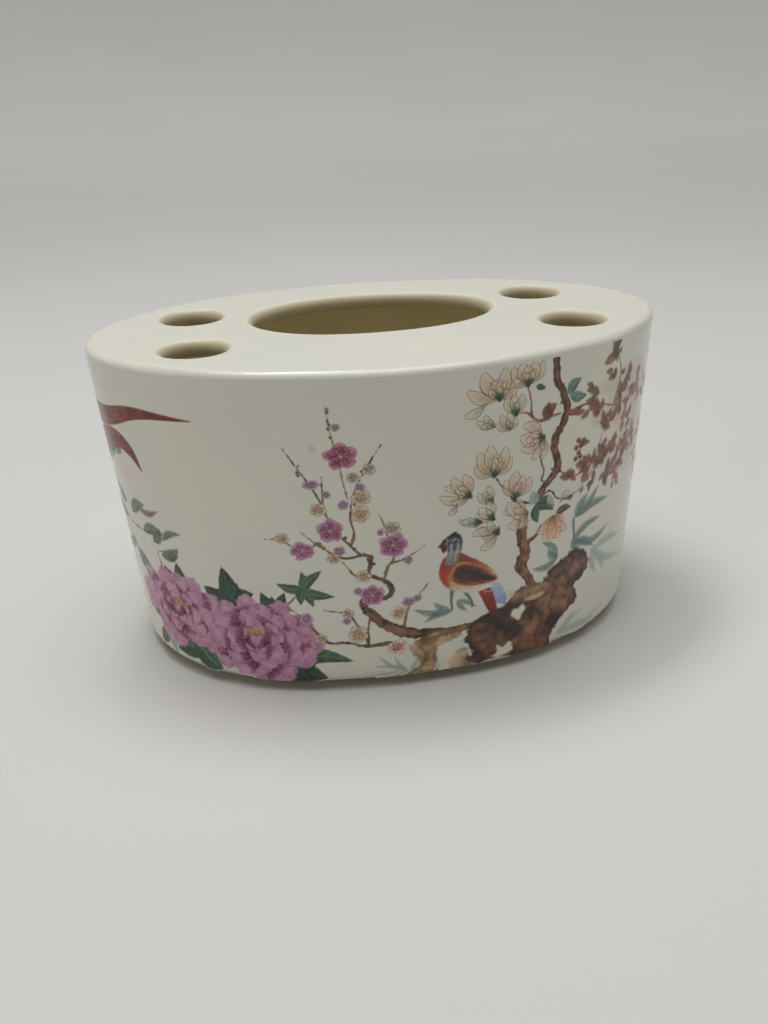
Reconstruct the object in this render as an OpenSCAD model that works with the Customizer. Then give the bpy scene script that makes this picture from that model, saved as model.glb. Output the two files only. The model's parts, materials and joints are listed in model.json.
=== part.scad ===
// Oval porcelain brush pot with a pierced deck.
// Origin: middle of the foot on the table. +X runs along the oval, +Y to the back, +Z up. Millimetres.

/* [Pot] */
// Length of the oval at full height, before the shoulder is rounded
pot_length = 160; // [140:1:190]
// Depth of the oval at full height, before the shoulder is rounded
pot_depth = 104; // [92:1:124]
// Overall height, foot to deck
pot_height = 88; // [70:1:120]
// Length of the oval at the base
base_length = 146; // [134:1:160]
// Depth of the oval at the base
base_depth = 104; // [90:1:120]
// Fullness of the oval at the shoulder, 2 is an ellipse
top_fullness = 1.93; // [1.85:0.01:2.3]
// Fullness of the oval at the base
base_fullness = 2.29; // [1.9:0.01:2.5]
// Rounding of the shoulder
shoulder_radius = 2.2; // [1.2:0.1:3.5]
// Rounding of the heel above the foot
heel_radius = 4; // [2:0.5:4]

/* [Body] */
// Thickness of the cast wall
wall_thickness = 4; // [3.5:0.5:5]
// Thickness of the pierced deck
deck_thickness = 4; // [3:0.5:6]
// Thickness of the floor
floor_thickness = 4; // [4:0.5:5]
// Height of the bare foot ring
foot_height = 2; // [1:0.5:4]
// Width of the bare foot ring
foot_width = 5; // [3:0.5:8]
// Distance from the heel to the foot ring
foot_inset = 5; // [5:0.5:8]

/* [Openings] */
// Bore of the four small holes
hole_diameter = 16.5; // [10:0.5:19]
// Middle of the pot to a small hole, along X
hole_x = 51; // [48:0.5:53]
// Middle of the pot to a small hole, along Y
hole_y = 18; // [15:0.5:20]
// Length of the middle opening, inside its lip
opening_length = 69; // [40:1:70]
// Depth of the middle opening, inside its lip
opening_depth = 47; // [30:1:50]
// How far the middle opening sits behind the middle
opening_shift = 8; // [0:0.5:9]
// Width of the bevel under each glazed lip
lip_width = 1.5; // [0.6:0.1:1.5]

/* [Skins] */
// Thickness of the fired glaze
glaze_thickness = 0.3; // [0.2:0.05:0.5]
// Thickness of a fired enamel transfer
enamel_thickness = 0.12; // [0.08:0.01:0.2]
// Height at which the outer glaze stops
glaze_line = 3.2; // [3:0.1:5]

/* [Hidden] */
// Facets round the oval, and round a bore
sides = 72;
bore_sides = 64;
// Steps in each rounded edge
steps = 4;
// Overlap that a cut runs past a face
past = 1;

deck_z = pot_height - deck_thickness;
floor_z = foot_height + glaze_thickness;
floor_top = floor_z + floor_thickness;
heel_top = foot_height + heel_radius;

porcelain = "#efece3";
biscuit = "#d9d2c2";
glaze = "#f4f1e8";
peony_pink = "#b0568f";
plum_mauve = "#a8608f";
magnolia_cream = "#e6cda6";
nandina_red = "#9a4a3a";
pheasant_rust = "#a8452f";
sprig_green = "#5d7a63";

// One coordinate of a unit superellipse.
function power_of(value, fullness) = sign(value) * pow(abs(value), 2 / fullness);

// A point on an oval of half length a and half depth b.
function oval_point(a, b, fullness, angle) =
    [a * power_of(cos(angle), fullness), b * power_of(sin(angle), fullness)];

// A point of the wall at height z, inset from the finished surface. It follows a straight line up the wall.
function wall_point(z, inset, angle) =
    let (low = oval_point(base_length / 2 - inset, base_depth / 2 - inset, base_fullness, angle),
         high = oval_point(pot_length / 2 - inset, pot_depth / 2 - inset, top_fullness, angle),
         share = z / pot_height,
         flat = low + (high - low) * share)
    [flat[0], flat[1], z];

// Rings up the heel and over the shoulder, as [z, inset], for a surface under the finished one by depth.
function heel_rings(depth) =
    [for (i = [steps:-1:0])
        let (turn = 90 * i / steps, r = heel_radius - depth)
        [heel_top - r * sin(turn), heel_radius - r * cos(turn)]];
function shoulder_rings(depth) =
    [for (i = [0:steps])
        let (turn = 90 * i / steps, r = shoulder_radius - depth)
        [pot_height - shoulder_radius + r * sin(turn), shoulder_radius - r * cos(turn)]];

// A solid skinned through equal rings of points, bottom to top.
module skin(rings) {
    last = len(rings) - 1;
    points = [for (ring = rings) each ring];
    walls = [for (k = [0:last - 1], i = [0:sides - 1], half = [0, 1])
        let (a = k * sides + i, b = k * sides + (i + 1) % sides)
        half == 0 ? [a, a + sides, b + sides] : [a, b + sides, b]];
    bottom = [for (i = [0:sides - 1]) i];
    top = [for (i = [sides - 1:-1:0]) last * sides + i];
    polyhedron(points, concat([bottom], walls, [top]));
}

// A solid skinned through rings of the oval, each given as [z, inset].
module loft(rings) {
    skin([for (ring = rings) [for (i = [0:sides - 1]) wall_point(ring[0], ring[1], 360 * i / sides)]]);
}

// The outline of the pot at one height, as a straight-sided prism.
module oval_prism(z, height, inset) {
    outline = [for (i = [0:sides - 1])
        let (p = wall_point(z, inset, 360 * i / sides))
        [p[0], p[1]]];
    translate([0, 0, z]) linear_extrude(height) polygon(outline);
}

// Places its children at the four small holes.
module at_holes() {
    for (x = [-hole_x, hole_x], y = [-hole_y, hole_y])
        translate([x, y, 0]) children();
}

// The edge of the middle opening at height z, grown all round.
function opening_ring(z, grow) =
    [for (i = [0:sides - 1])
        let (p = oval_point(opening_length / 2 + grow, opening_depth / 2 + grow, 2, 360 * i / sides))
        [p[0], p[1] + opening_shift, z]];

// The middle opening through the deck, grown all round, from z up past the deck.
module opening_cut(z, grow) {
    skin([opening_ring(z, grow), opening_ring(pot_height + past, grow)]);
}

module cast_wall() {
    color(porcelain) difference() {
        loft([[floor_top, glaze_thickness], [deck_z, glaze_thickness]]);
        loft([[floor_top - past, wall_thickness], [deck_z + past, wall_thickness]]);
    }
}

module pierced_deck() {
    bore = hole_diameter / 2;
    top = pot_height - glaze_thickness;
    color(porcelain) difference() {
        loft(concat([[deck_z, glaze_thickness]], shoulder_rings(glaze_thickness)));
        at_holes() {
            translate([0, 0, deck_z - past])
                cylinder(r = bore, h = deck_thickness + 2 * past, $fn = bore_sides);
            translate([0, 0, top - lip_width])
                cylinder(r1 = bore, r2 = bore + 2 * lip_width, h = 2 * lip_width, $fn = bore_sides);
        }
        opening_cut(deck_z - past, 0);
        skin([opening_ring(top - lip_width, 0), opening_ring(top + lip_width, 2 * lip_width)]);
    }
}

module floor_plate() {
    color(porcelain) loft(concat(heel_rings(glaze_thickness), [[floor_top, glaze_thickness]]));
}

module foot_ring() {
    color(biscuit) difference() {
        oval_prism(0, floor_z, foot_inset);
        translate([0, 0, -past])
            oval_prism(0, floor_z + 2 * past, foot_inset + foot_width);
    }
}

module outer_glaze() {
    lip = hole_diameter / 2 + lip_width;
    color(glaze) difference() {
        loft(concat(heel_rings(0), shoulder_rings(0)));
        loft(concat(heel_rings(glaze_thickness), shoulder_rings(glaze_thickness)));
        translate([-pot_length, -pot_length, -past])
            cube([2 * pot_length, 2 * pot_length, glaze_line + past]);
        at_holes() translate([0, 0, deck_z]) cylinder(r = lip, h = 2 * deck_thickness, $fn = bore_sides);
        opening_cut(deck_z, lip_width);
    }
}

module liner_glaze() {
    skin = wall_thickness + glaze_thickness;
    color(glaze) difference() {
        loft([[floor_top, wall_thickness], [deck_z, wall_thickness]]);
        loft([[floor_top + glaze_thickness, skin], [deck_z + past, skin]]);
    }
}

// An enamel film on the glaze, on every facet from the first station to the last.
// Each station is [facet of the oval, low z, high z], going anticlockwise, and the film runs straight between them.
module enamel(stations) {
    lows = [for (s = stations) [s[0], s[1]]];
    highs = [for (s = stations) [s[0], s[2]]];
    first = stations[0][0];
    count = stations[len(stations) - 1][0] - first;
    points = [for (i = [0:count])
        let (angle = 360 * (first + i) / sides, low = lookup(first + i, lows), high = lookup(first + i, highs))
        each [wall_point(low, 0, angle), wall_point(low, -enamel_thickness, angle),
              wall_point(high, -enamel_thickness, angle), wall_point(high, 0, angle)]];
    faces = [for (i = [0:count - 1], k = [0:3], half = [0, 1])
        let (a = 4 * i + k, b = 4 * i + (k + 1) % 4)
        half == 0 ? [a, b, b + 4] : [a, b + 4, a + 4]];
    last = 4 * count;
    polyhedron(points, concat([[0, 3, 2, 1]], faces, [[last, last + 1, last + 2, last + 3]]));
}

module peony_transfer() {
    color(peony_pink) enamel([[42, 7, 26], [44, 7, 40], [46, 7, 46], [48, 7, 34], [50, 7, 26], [52, 8, 16]]);
}

module plum_transfer() {
    color(plum_mauve) enamel([[50, 30, 56], [51, 18, 62], [52, 17, 70], [53, 14, 66], [54, 14, 58],
                              [55, 14, 40], [56, 16, 34]]);
}

module magnolia_transfer() {
    color(magnolia_cream) enamel([[56, 8, 14], [57, 7, 56], [58, 7, 72], [59, 7, 80], [60, 7, 82],
                                  [61, 7, 83], [62, 8, 80], [64, 9, 34]]);
}

module nandina_transfer() {
    color(nandina_red) enamel([[65, 44, 66], [67, 40, 82], [69, 22, 82], [71, 20, 70], [74, 24, 60]]);
}

module pheasant_transfer() {
    color(pheasant_rust) enamel([[28, 34, 44], [31, 34, 56], [34, 38, 66], [37, 42, 72], [40, 48, 74],
                                 [43, 56, 74], [46, 66, 70]]);
}

module sprig_transfer() {
    color(sprig_green) enamel([[13, 28, 34], [15, 22, 48], [18, 20, 56], [21, 24, 50], [23, 36, 44]]);
}

cast_wall();
pierced_deck();
floor_plate();
foot_ring();
outer_glaze();
liner_glaze();
peony_transfer();
plum_transfer();
magnolia_transfer();
nandina_transfer();
pheasant_transfer();
sprig_transfer();
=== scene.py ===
"""The looks of an oval porcelain brush pot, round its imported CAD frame.

The glaze, the liner and the foot are smooth meshes worked out from the pot's two ovals. The flowers
and birds are painted by code on the unrolled wall, and each painted group becomes a thin enamel
sheet on the glaze. Lengths are in millimetres until a mesh is made.
"""

import json
import math

import bpy
import numpy as np
from mathutils import Matrix, Vector
from mathutils.geometry import delaunay_2d_cdt


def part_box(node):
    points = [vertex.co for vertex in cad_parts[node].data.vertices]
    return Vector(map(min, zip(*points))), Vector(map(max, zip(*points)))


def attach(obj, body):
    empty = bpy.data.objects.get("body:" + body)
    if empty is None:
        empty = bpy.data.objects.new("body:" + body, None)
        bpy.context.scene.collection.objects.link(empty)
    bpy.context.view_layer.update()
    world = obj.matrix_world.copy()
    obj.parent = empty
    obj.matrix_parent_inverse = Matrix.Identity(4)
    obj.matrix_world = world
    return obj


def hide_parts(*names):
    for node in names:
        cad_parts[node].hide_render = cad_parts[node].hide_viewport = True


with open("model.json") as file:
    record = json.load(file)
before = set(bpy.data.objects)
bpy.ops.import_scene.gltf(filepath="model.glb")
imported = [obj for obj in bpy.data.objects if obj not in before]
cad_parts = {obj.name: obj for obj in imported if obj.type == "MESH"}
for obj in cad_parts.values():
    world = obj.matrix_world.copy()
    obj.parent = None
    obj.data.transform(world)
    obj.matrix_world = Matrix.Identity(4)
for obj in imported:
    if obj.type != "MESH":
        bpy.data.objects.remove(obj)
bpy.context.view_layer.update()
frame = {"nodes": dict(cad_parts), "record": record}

# ---- sizes ----

MM = 0.001
GLAZE_BOX = [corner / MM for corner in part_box("outer_glaze")]
LINER_BOX = [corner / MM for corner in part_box("liner_glaze")]
DECK_BOX = [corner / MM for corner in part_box("pierced_deck")]
FOOT_BOX = [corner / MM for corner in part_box("foot_ring")]
FLOOR_BOX = [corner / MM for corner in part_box("floor_plate")]
HOLES = [mount for mount in frame["record"]["mounts"] if mount["name"].endswith("_hole")]

HEIGHT = GLAZE_BOX[1].z
GLAZE_LINE = GLAZE_BOX[0].z
DECK_UNDERSIDE = DECK_BOX[0].z
# Each oval: half length, half depth, and fullness, where 2 is an ellipse.
BASE_OVAL = (73, 52, 2.29)
TOP_OVAL = (80, 52, 1.93)
SHOULDER = 2.2
HEEL = 4
WALL = 4
GLAZE = 0.3
FOOT_INSET = 5
FOOT_WIDTH = 5
# The middle opening: half length, half depth, and how far it sits behind the middle.
OPENING = (34.5, 23.5)
OPENING_SHIFT = 8
# How far the glaze rolls over each lip, how far it stands inside each bore, and its turn under the deck.
LIP = 2.5
BORE_COAT = 0.2
CURL = 0.7
# Points round the pot, and the ends and the grid of the painted wall.
AROUND = 480
PAINTED = (-152, 205)
PAINT_GRID = 0.18


# ---- the pot's surface ----

def power_of(value, fullness):
    """One coordinate of a unit superellipse."""
    return np.sign(value) * np.abs(value) ** (2 / fullness)


def oval(half_length, half_depth, fullness, angle):
    """Points on an oval."""
    return np.stack([half_length * power_of(np.cos(angle), fullness),
                     half_depth * power_of(np.sin(angle), fullness)], -1)


def surface(angle, z, inset=0.0):
    """Points of the pot's wall at angles and heights, drawn in from the finished surface."""
    angle, z, inset = np.broadcast_arrays(angle, z, inset)
    low = oval(BASE_OVAL[0] - inset, BASE_OVAL[1] - inset, BASE_OVAL[2], angle)
    high = oval(TOP_OVAL[0] - inset, TOP_OVAL[1] - inset, TOP_OVAL[2], angle)
    return np.concatenate([low + (high - low) * (z / HEIGHT)[..., None], z[..., None]], -1)


def settle(points):
    """The slight unevenness of a fired pot. The foot and the shoulder stay true, and the deck dips."""
    x, y, z = points[..., 0], points[..., 1], points[..., 2]
    angle = np.arctan2(y, x)
    on_wall = np.clip((z - 8) / 40, 0, 1) * np.clip((HEIGHT - 5 - z) / 16, 0, 1)
    on_deck = np.clip((z - 70) / 16, 0, 1) ** 2
    waves = 0.09 * np.sin(3 * angle + 0.6) + 0.06 * np.sin(5 * angle + z * 0.05)
    out = on_wall * (waves + 0.04 * np.sin(9 * angle - z * 0.09))
    up = on_deck * (0.14 * np.sin(x * 0.05 + 1) * np.cos(y * 0.07) + 0.05 * np.sin(x * 0.13 - y * 0.1))
    size = np.maximum(np.hypot(x, y), 1)
    return points + np.stack([out * x / size, out * y / size, up], -1)


# Arc length round the wall at mid height, from the front middle, positive towards +X.
TURN = np.linspace(-1.5 * math.pi, 0.5 * math.pi, 14401)
MIDDLE_RING = surface(TURN, HEIGHT / 2)
ARC = np.concatenate([[0], np.cumsum(np.linalg.norm(np.diff(MIDDLE_RING, axis=0), axis=1))])
ARC -= np.interp(-0.5 * math.pi, TURN, ARC)


def wall(s, z, lift=0.0):
    """Points on the settled wall from the unrolled wall's own places, lifted off it."""
    return settle(surface(np.interp(s, ARC, TURN), z, -lift))


# ---- painting: colours are sRGB from 0 to 255, places are [s, z] in mm on the unrolled wall ----

def smooth(points, per=8, closed=False):
    """A smooth line through a few points, as many short straight pieces."""
    p = np.array(points, float)
    ends = (p[-1:], p[:1], p[1:2]) if closed else (2 * p[:1] - p[1:2], 2 * p[-1:] - p[-2:-1], p[:0])
    p = np.vstack([ends[0], p, *ends[1:]])
    t = np.linspace(0, 1, per, endpoint=False)[:, None]
    line = []
    for a, b, c, d in zip(p, p[1:], p[2:], p[3:]):
        square, cube = a - 2.5 * b + 2 * c - d / 2, 1.5 * (b - c) + (d - a) / 2
        line.append(b + (c - a) * t / 2 + square * t**2 + cube * t**3)
    return np.vstack(line + [p[-2:-1]])


def nearest(path, s, z):
    """Each point's distance to a line, how far along the line that is (0 to 1), and its signed distance."""
    start, step = path[:-1], np.diff(path, axis=0)
    length = np.maximum(np.linalg.norm(step, axis=1), 1e-6)
    before = np.concatenate([[0], np.cumsum(length)])
    spots = np.stack([s.ravel(), z.ravel()], 1)
    found = np.empty((3, len(spots)))
    chunk = max(1, 2_000_000 // len(start))
    for k in range(0, len(spots), chunk):
        away = spots[k:k + chunk, None] - start
        t = np.clip((away * step).sum(2) / length**2, 0, 1)
        away = away - t[..., None] * step
        distance = (away**2).sum(2)
        best = distance.argmin(1)
        row = np.arange(len(best))
        away, t = away[row, best], t[row, best]
        found[0, k:k + chunk] = np.sqrt(distance[row, best])
        found[1, k:k + chunk] = (before[best] + t * length[best]) / before[-1]
        turn = step[best, 0] * away[:, 1] - step[best, 1] * away[:, 0]
        found[2, k:k + chunk] = np.where(turn < 0, -1, 1) * found[0, k:k + chunk]
    return [f.reshape(s.shape) for f in found]


def inside(path, s, z):
    """True where a point lies inside a closed line."""
    odd = np.zeros(s.shape, bool)
    for (s0, z0), (s1, z1) in zip(path, np.roll(path, -1, axis=0)):
        if z0 != z1:
            odd ^= ((z0 > z) != (z1 > z)) & (s < s0 + (z - z0) * (s1 - s0) / (z1 - z0))
    return odd


def ramp(x, colours):
    """A blend of colours spaced evenly from 0 to 1."""
    c = np.array(colours, float)
    x = np.clip(x, 0, 1) * (len(c) - 1)
    i = np.minimum(x.astype(int), len(c) - 2)
    f = (x - i)[..., None]
    return c[i] * (1 - f) + c[i + 1] * f


def blend(under, over, share):
    """Two colours mixed by a share from 0 to 1 at each point."""
    return under * (1 - share[..., None]) + np.array(over, float) * share[..., None]


def grain(s, z, size, seed):
    """Smooth random values from 0 to 1, in blobs of one size."""
    table = np.random.default_rng(seed).random((64, 64))
    x, y = s / size, z / size
    i, j = np.floor(x).astype(int), np.floor(y).astype(int)
    x, y = x - i, y - j
    x, y = x * x * (3 - 2 * x), y * y * (3 - 2 * y)
    low = table[i % 64, j % 64] * (1 - x) + table[(i + 1) % 64, j % 64] * x
    high = table[i % 64, (j + 1) % 64] * (1 - x) + table[(i + 1) % 64, (j + 1) % 64] * x
    return low * (1 - y) + high * y


def turned(length, angle):
    """A step of one length at an angle in degrees, anticlockwise from +s."""
    return np.array([math.cos(math.radians(angle)), math.sin(math.radians(angle))]) * length


class Canvas:
    """The unrolled wall and its paint: its colour, its cover over the glaze, its thickness and its group."""

    def __init__(self, low, high, step):
        self.s = np.arange(low[0], high[0], step)
        self.z = np.arange(low[1], high[1], step)
        shape = (len(self.s), len(self.z))
        self.rgb, self.cover, self.thick = np.zeros(shape + (3,)), np.zeros(shape), np.zeros(shape)
        self.group, self.current = np.zeros(shape, int), 0

    def window(self, path, margin):
        """The part of the canvas round a line, and the place of each of its points."""
        low, high = path.min(0) - margin, path.max(0) + margin
        part = (slice(*np.searchsorted(self.s, (low[0], high[0]))),
                slice(*np.searchsorted(self.z, (low[1], high[1]))))
        return part, *np.meshgrid(self.s[part[0]], self.z[part[1]], indexing="ij")

    def lay(self, part, mask, colour, thick):
        """Lays one colour over what is there, for the group that is being painted."""
        self.rgb[part] = colour * mask[..., None] + self.rgb[part] * (1 - mask[..., None])
        self.cover[part] = mask + self.cover[part] * (1 - mask)
        self.thick[part] = thick * mask + self.thick[part] * (1 - mask)
        self.group[part][mask > 0.03] = self.current

    def stroke(self, points, widths, colour, soft=0.3, strength=1.0, thick=0.5, rough=0.0, seed=0, per=8):
        """Paints along a smooth line. A colour may be a function of (along 0 to 1, across -1 to 1, s, z)."""
        path = smooth(points, per)
        widths = np.atleast_1d(np.array(widths, float))
        part, s, z = self.window(path, widths.max() / 2 + soft + rough)
        if s.size:
            away, along, side = nearest(path, s, z)
            half = np.interp(along, np.linspace(0, 1, len(widths)), widths) / 2
            if rough:
                half = half + rough * (grain(s, z, 0.9, seed) - 0.5) * 2
            mask = np.clip((half - away) / soft + 0.5, 0, 1) * strength
            across = np.clip(side / np.maximum(half, 0.05), -1, 1)
            tone = colour(along, across, s, z) if callable(colour) else np.array(colour, float)
            self.lay(part, mask, tone, thick)

    def fill(self, outline, colour, soft=0.3, strength=1.0, thick=0.5, rough=0.0, seed=0):
        """Paints inside a closed line. A colour may be a function of (mm in from the edge, 0, s, z)."""
        path = smooth(outline, 6, closed=True)
        part, s, z = self.window(path, soft + rough)
        if s.size:
            away = nearest(np.vstack([path, path[:1]]), s, z)[0] * np.where(inside(path, s, z), 1, -1)
            if rough:
                away = away + rough * (grain(s, z, 1.1, seed) - 0.5) * 2
            mask = np.clip(away / soft + 0.5, 0, 1) * strength
            tone = colour(away, 0, s, z) if callable(colour) else np.array(colour, float)
            self.lay(part, mask, tone, thick)

    def dot(self, place, size, colour, soft=0.3, strength=1.0, thick=0.5):
        """Paints a round spot."""
        place = np.array(place, float)
        self.stroke([place - (0.01, 0), place + (0.01, 0)], size, colour, soft, strength, thick)


# ---- motifs ----

# Dark, middle and light tones.
GREEN = ((40, 66, 52), (80, 110, 86), (146, 166, 142))
DEEP_GREEN = ((28, 48, 38), (58, 82, 62), (100, 124, 98))
SAGE = ((58, 72, 62), (98, 114, 100), (150, 162, 146))
TEAL = ((70, 106, 98), (120, 150, 141), (172, 192, 184))
PALE_TEAL = ((126, 150, 140), (168, 186, 176), (198, 208, 198))
MOSS = ((84, 92, 58), (120, 124, 84), (150, 150, 110))
OLIVE = ((66, 50, 36), (124, 94, 68), (166, 138, 108))
WINE = ((70, 24, 28), (128, 56, 58), (180, 120, 110))
RUSSET = ((102, 54, 44), (154, 98, 80), (192, 146, 128))
MAUVE_RED = ((128, 82, 80), (172, 126, 120), (206, 174, 166))
BROWN = ((52, 35, 28), (102, 71, 51), (154, 117, 84))
FAWN = ((74, 56, 44), (128, 100, 74), (170, 142, 108))
OLD_WOOD = ((54, 36, 29), (102, 70, 52), (150, 113, 84))
LIT_WOOD = ((76, 49, 34), (128, 90, 60), (174, 130, 90))
ORCHID = ((116, 54, 86), (158, 94, 130), (200, 154, 178))
ROSE = ((112, 36, 64), (154, 74, 106), (198, 140, 164))
MAUVE = ((110, 76, 104), (152, 120, 144), (194, 174, 186))
HONEY = ((160, 126, 88), (202, 184, 146), (218, 209, 182))
SMOKE = ((122, 104, 96), (188, 176, 160), (214, 208, 194))
SHELL = ((150, 84, 84), (226, 186, 172), (244, 222, 210))
PEONY = ((84, 34, 58), (138, 68, 104), (168, 106, 140), (206, 162, 184))
STAMENS = ((140, 84, 60), (196, 148, 84), (226, 190, 116))
# The base and the edge of a petal.
PEACH = ((214, 176, 132), (230, 221, 202))
CREAM = ((206, 188, 148), (226, 221, 204))
BLUSH = ((216, 178, 150), (230, 217, 200))
APRICOT = ((222, 156, 108), (242, 216, 182))
BUD = ((170, 184, 150), (226, 226, 200))
PETAL_LINE = (66, 54, 48)
# The width of a petal from its base to its tip.
PETAL = np.sin(np.pi * np.linspace(0, 1, 13) ** 1.2) ** 1.1


def leaf(c, base, tip, width, greens, bend=0.0, soft=0.35, strength=1.0, veins=1.0, taper=0.9, seed=0):
    """A leaf with a lit half, a midrib and side veins. A smaller taper makes it rounder."""
    base, tip = np.array(base, float), np.array(tip, float)
    run = tip - base
    middle = (base + tip) / 2 + np.array([-run[1], run[0]]) * bend
    dark, light, vein = greens

    def colour(along, across, s, z):
        shade = 0.45 + 0.4 * across + 0.6 * (grain(s, z, 0.9, seed) - 0.5) + 0.25 * abs(across)
        rib = np.exp(-(across / 0.13) ** 2) * 0.45
        side = np.maximum(0, np.cos(2 * np.pi * (along * 5.5 - abs(across) * 0.9))) ** 8 * 0.28
        return blend(ramp(shade, [dark, light]), vein, np.clip(rib + side, 0, 1) * veins)

    widths = width * np.sin(np.pi * np.linspace(0, 1, 15) ** 0.8) ** taper
    c.stroke([base, middle, tip], widths, colour, soft, strength, rough=0.12, seed=seed)


def fan_of_leaves(c, centre, lobes, greens, width, seed=0):
    """Pointed lobes that spread from one point, each [angle, length]."""
    centre = np.array(centre)
    longest = max(length for _, length in lobes)
    for k, (angle, length) in enumerate(lobes):
        leaf(c, centre - turned(length * 0.12, angle), centre + turned(length, angle),
             width * (0.75 + 0.25 * length / longest), greens, 0.06 * (-1) ** k, seed=seed + k)


def blades(c, base, tips, width, greens, bend=0.08, soft=0.6, strength=0.85, seed=0):
    """Narrow bamboo leaves that spread from one point."""
    for k, tip in enumerate(tips):
        leaf(c, base, tip, width, greens, bend * (-1) ** k, soft, strength, veins=0.4, seed=seed + k)


def cluster(c, centre, spread, count, size, tones, lean, seed=0):
    """Small rounded leaves that crowd round a place, in several tones."""
    rng = np.random.default_rng(seed)
    for k in range(count):
        base = np.array(centre) + rng.normal(0, 0.45, 2) * spread
        angle = lean + rng.choice([0, 180]) + rng.normal(0, 42)
        length = size * rng.uniform(0.7, 1.1)
        leaf(c, base, base + turned(length, angle), length * rng.uniform(0.46, 0.62),
             tones[rng.integers(len(tones))], rng.uniform(-0.15, 0.15), soft=0.7, strength=0.9, veins=0.5,
             taper=0.6, seed=seed + k)


def twig(c, points, widths, tones=BROWN, rough=0.15, seed=0):
    """A branch with dark edges, a lit upper side and bark streaked along it."""
    path = smooth(points)
    length = np.linalg.norm(np.diff(path, axis=0), axis=1).sum()
    thickest = np.max(widths)

    def colour(along, across, s, z):
        streak = grain(along * length / 2.2, across * thickest / 0.9, 1, seed) - 0.5
        patch = grain(s, z, 1.8, seed + 1) - 0.5
        return ramp(0.62 + 0.18 * across - 0.42 * across**2 + 0.7 * streak + 0.5 * patch, tones)

    c.stroke(points, widths, colour, 0.28, rough=rough, seed=seed, thick=0.8)


def spray(c, points, size, greens, count, seed=0):
    """Leaves in turn on both sides of a twig, and one at its end."""
    rng = np.random.default_rng(seed)
    path = smooth(points)
    twig(c, points, [0.5, 0.3], (greens[0], greens[0], greens[1]), seed=seed)
    for k in range(count):
        i = int((k + 0.7) / count * (len(path) - 2))
        run = path[i + 1] - path[i]
        side = 62 * (-1) ** k if k < count - 1 else 0
        angle = math.degrees(math.atan2(run[1], run[0])) + side + rng.uniform(-16, 16)
        length = size * rng.uniform(0.75, 1.15)
        leaf(c, path[i], path[i] + turned(length, angle), length * 0.42, greens, rng.uniform(-0.12, 0.12),
             0.4, seed=seed + k)


def knots(c, points, size, count, seed=0):
    """Small lumps and stubs along a branch."""
    rng = np.random.default_rng(seed)
    path = smooth(points)
    for _ in range(count):
        place = path[rng.integers(len(path))] + rng.normal(0, size * 0.45, 2)
        c.dot(place, size * rng.uniform(0.5, 1.0), ramp(rng.random(1), BROWN[:2])[0], 0.4)


def buds(c, points, size, count, colour, seed=0):
    """Buds scattered along a twig."""
    rng = np.random.default_rng(seed)
    path = smooth(points)
    for k in range(count):
        place = path[int((k + 0.5) / count * (len(path) - 1))]
        c.dot(place + rng.normal(0, size * 0.5, 2), size * rng.uniform(0.7, 1.2), colour)


def plum(c, centre, size, squash=1.0, tones=ORCHID, heart=(200, 166, 128), seed=0):
    """A five-petalled blossom of one radius, with pale rims and dotted stamens."""
    rng = np.random.default_rng(seed)
    centre, flat = np.array(centre, float), np.array([1, squash])
    deep, mid, pale = tones
    start = rng.uniform(0, 72)
    for k in range(5):
        angle = start + 72 * k + rng.uniform(-6, 6)
        lobe = centre + turned(size * 0.56, angle) * flat
        ring = [lobe + turned(size * 0.5 * (1 + 0.1 * rng.normal()), a + angle) * flat
                for a in range(0, 360, 45)]

        def colour(depth, _, s, z):
            from_middle = np.hypot((s - centre[0]), (z - centre[1]) / squash) / size
            body = ramp(from_middle + 0.5 * (grain(s, z, 0.5, seed + k) - 0.5), [deep, deep, mid, pale])
            rimmed = blend(body, pale, np.exp(-((depth - 0.3) / 0.2) ** 2) * 0.6)
            return blend(rimmed, deep, np.exp(-(depth / 0.12) ** 2) * 0.5)

        c.fill(ring, colour, 0.28, rough=0.1, seed=seed + k, thick=0.9)
    for k in range(9):
        reach = centre + turned(size * rng.uniform(0.32, 0.5), 40 * k + rng.uniform(-12, 12)) * flat
        c.stroke([centre, reach], 0.13, (222, 186, 186), 0.2, 0.4)
        c.dot(reach, 0.3, heart, 0.2, 0.85)
    c.dot(centre, size * 0.2, heart, 0.3, 0.8)


def sketched(c, centre, size, squash=1.0, tones=HONEY, seed=0):
    """A cream blossom with a loose brown outline."""
    plum(c, centre, size, squash, tones, (150, 116, 84), seed=seed)
    rng = np.random.default_rng(seed)
    centre, flat = np.array(centre, float), np.array([1, squash])
    start = rng.uniform(0, 72)
    for k in range(5):
        lobe = centre + turned(size * 0.56, start + 72 * k) * flat
        open_side = start + 72 * k + rng.uniform(-40, 40)
        ring = [lobe + turned(size * 0.5 * rng.uniform(0.85, 1.15), open_side + a) * flat
                for a in range(-110, 111, 44)]
        c.stroke(ring, 0.15, (122, 88, 68), 0.22, 0.55, per=4)
    for _ in range(4):
        c.dot(centre + rng.normal(0, size * 0.35, 2) * flat, 0.35, (110, 78, 66), 0.25, 0.7)


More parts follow.
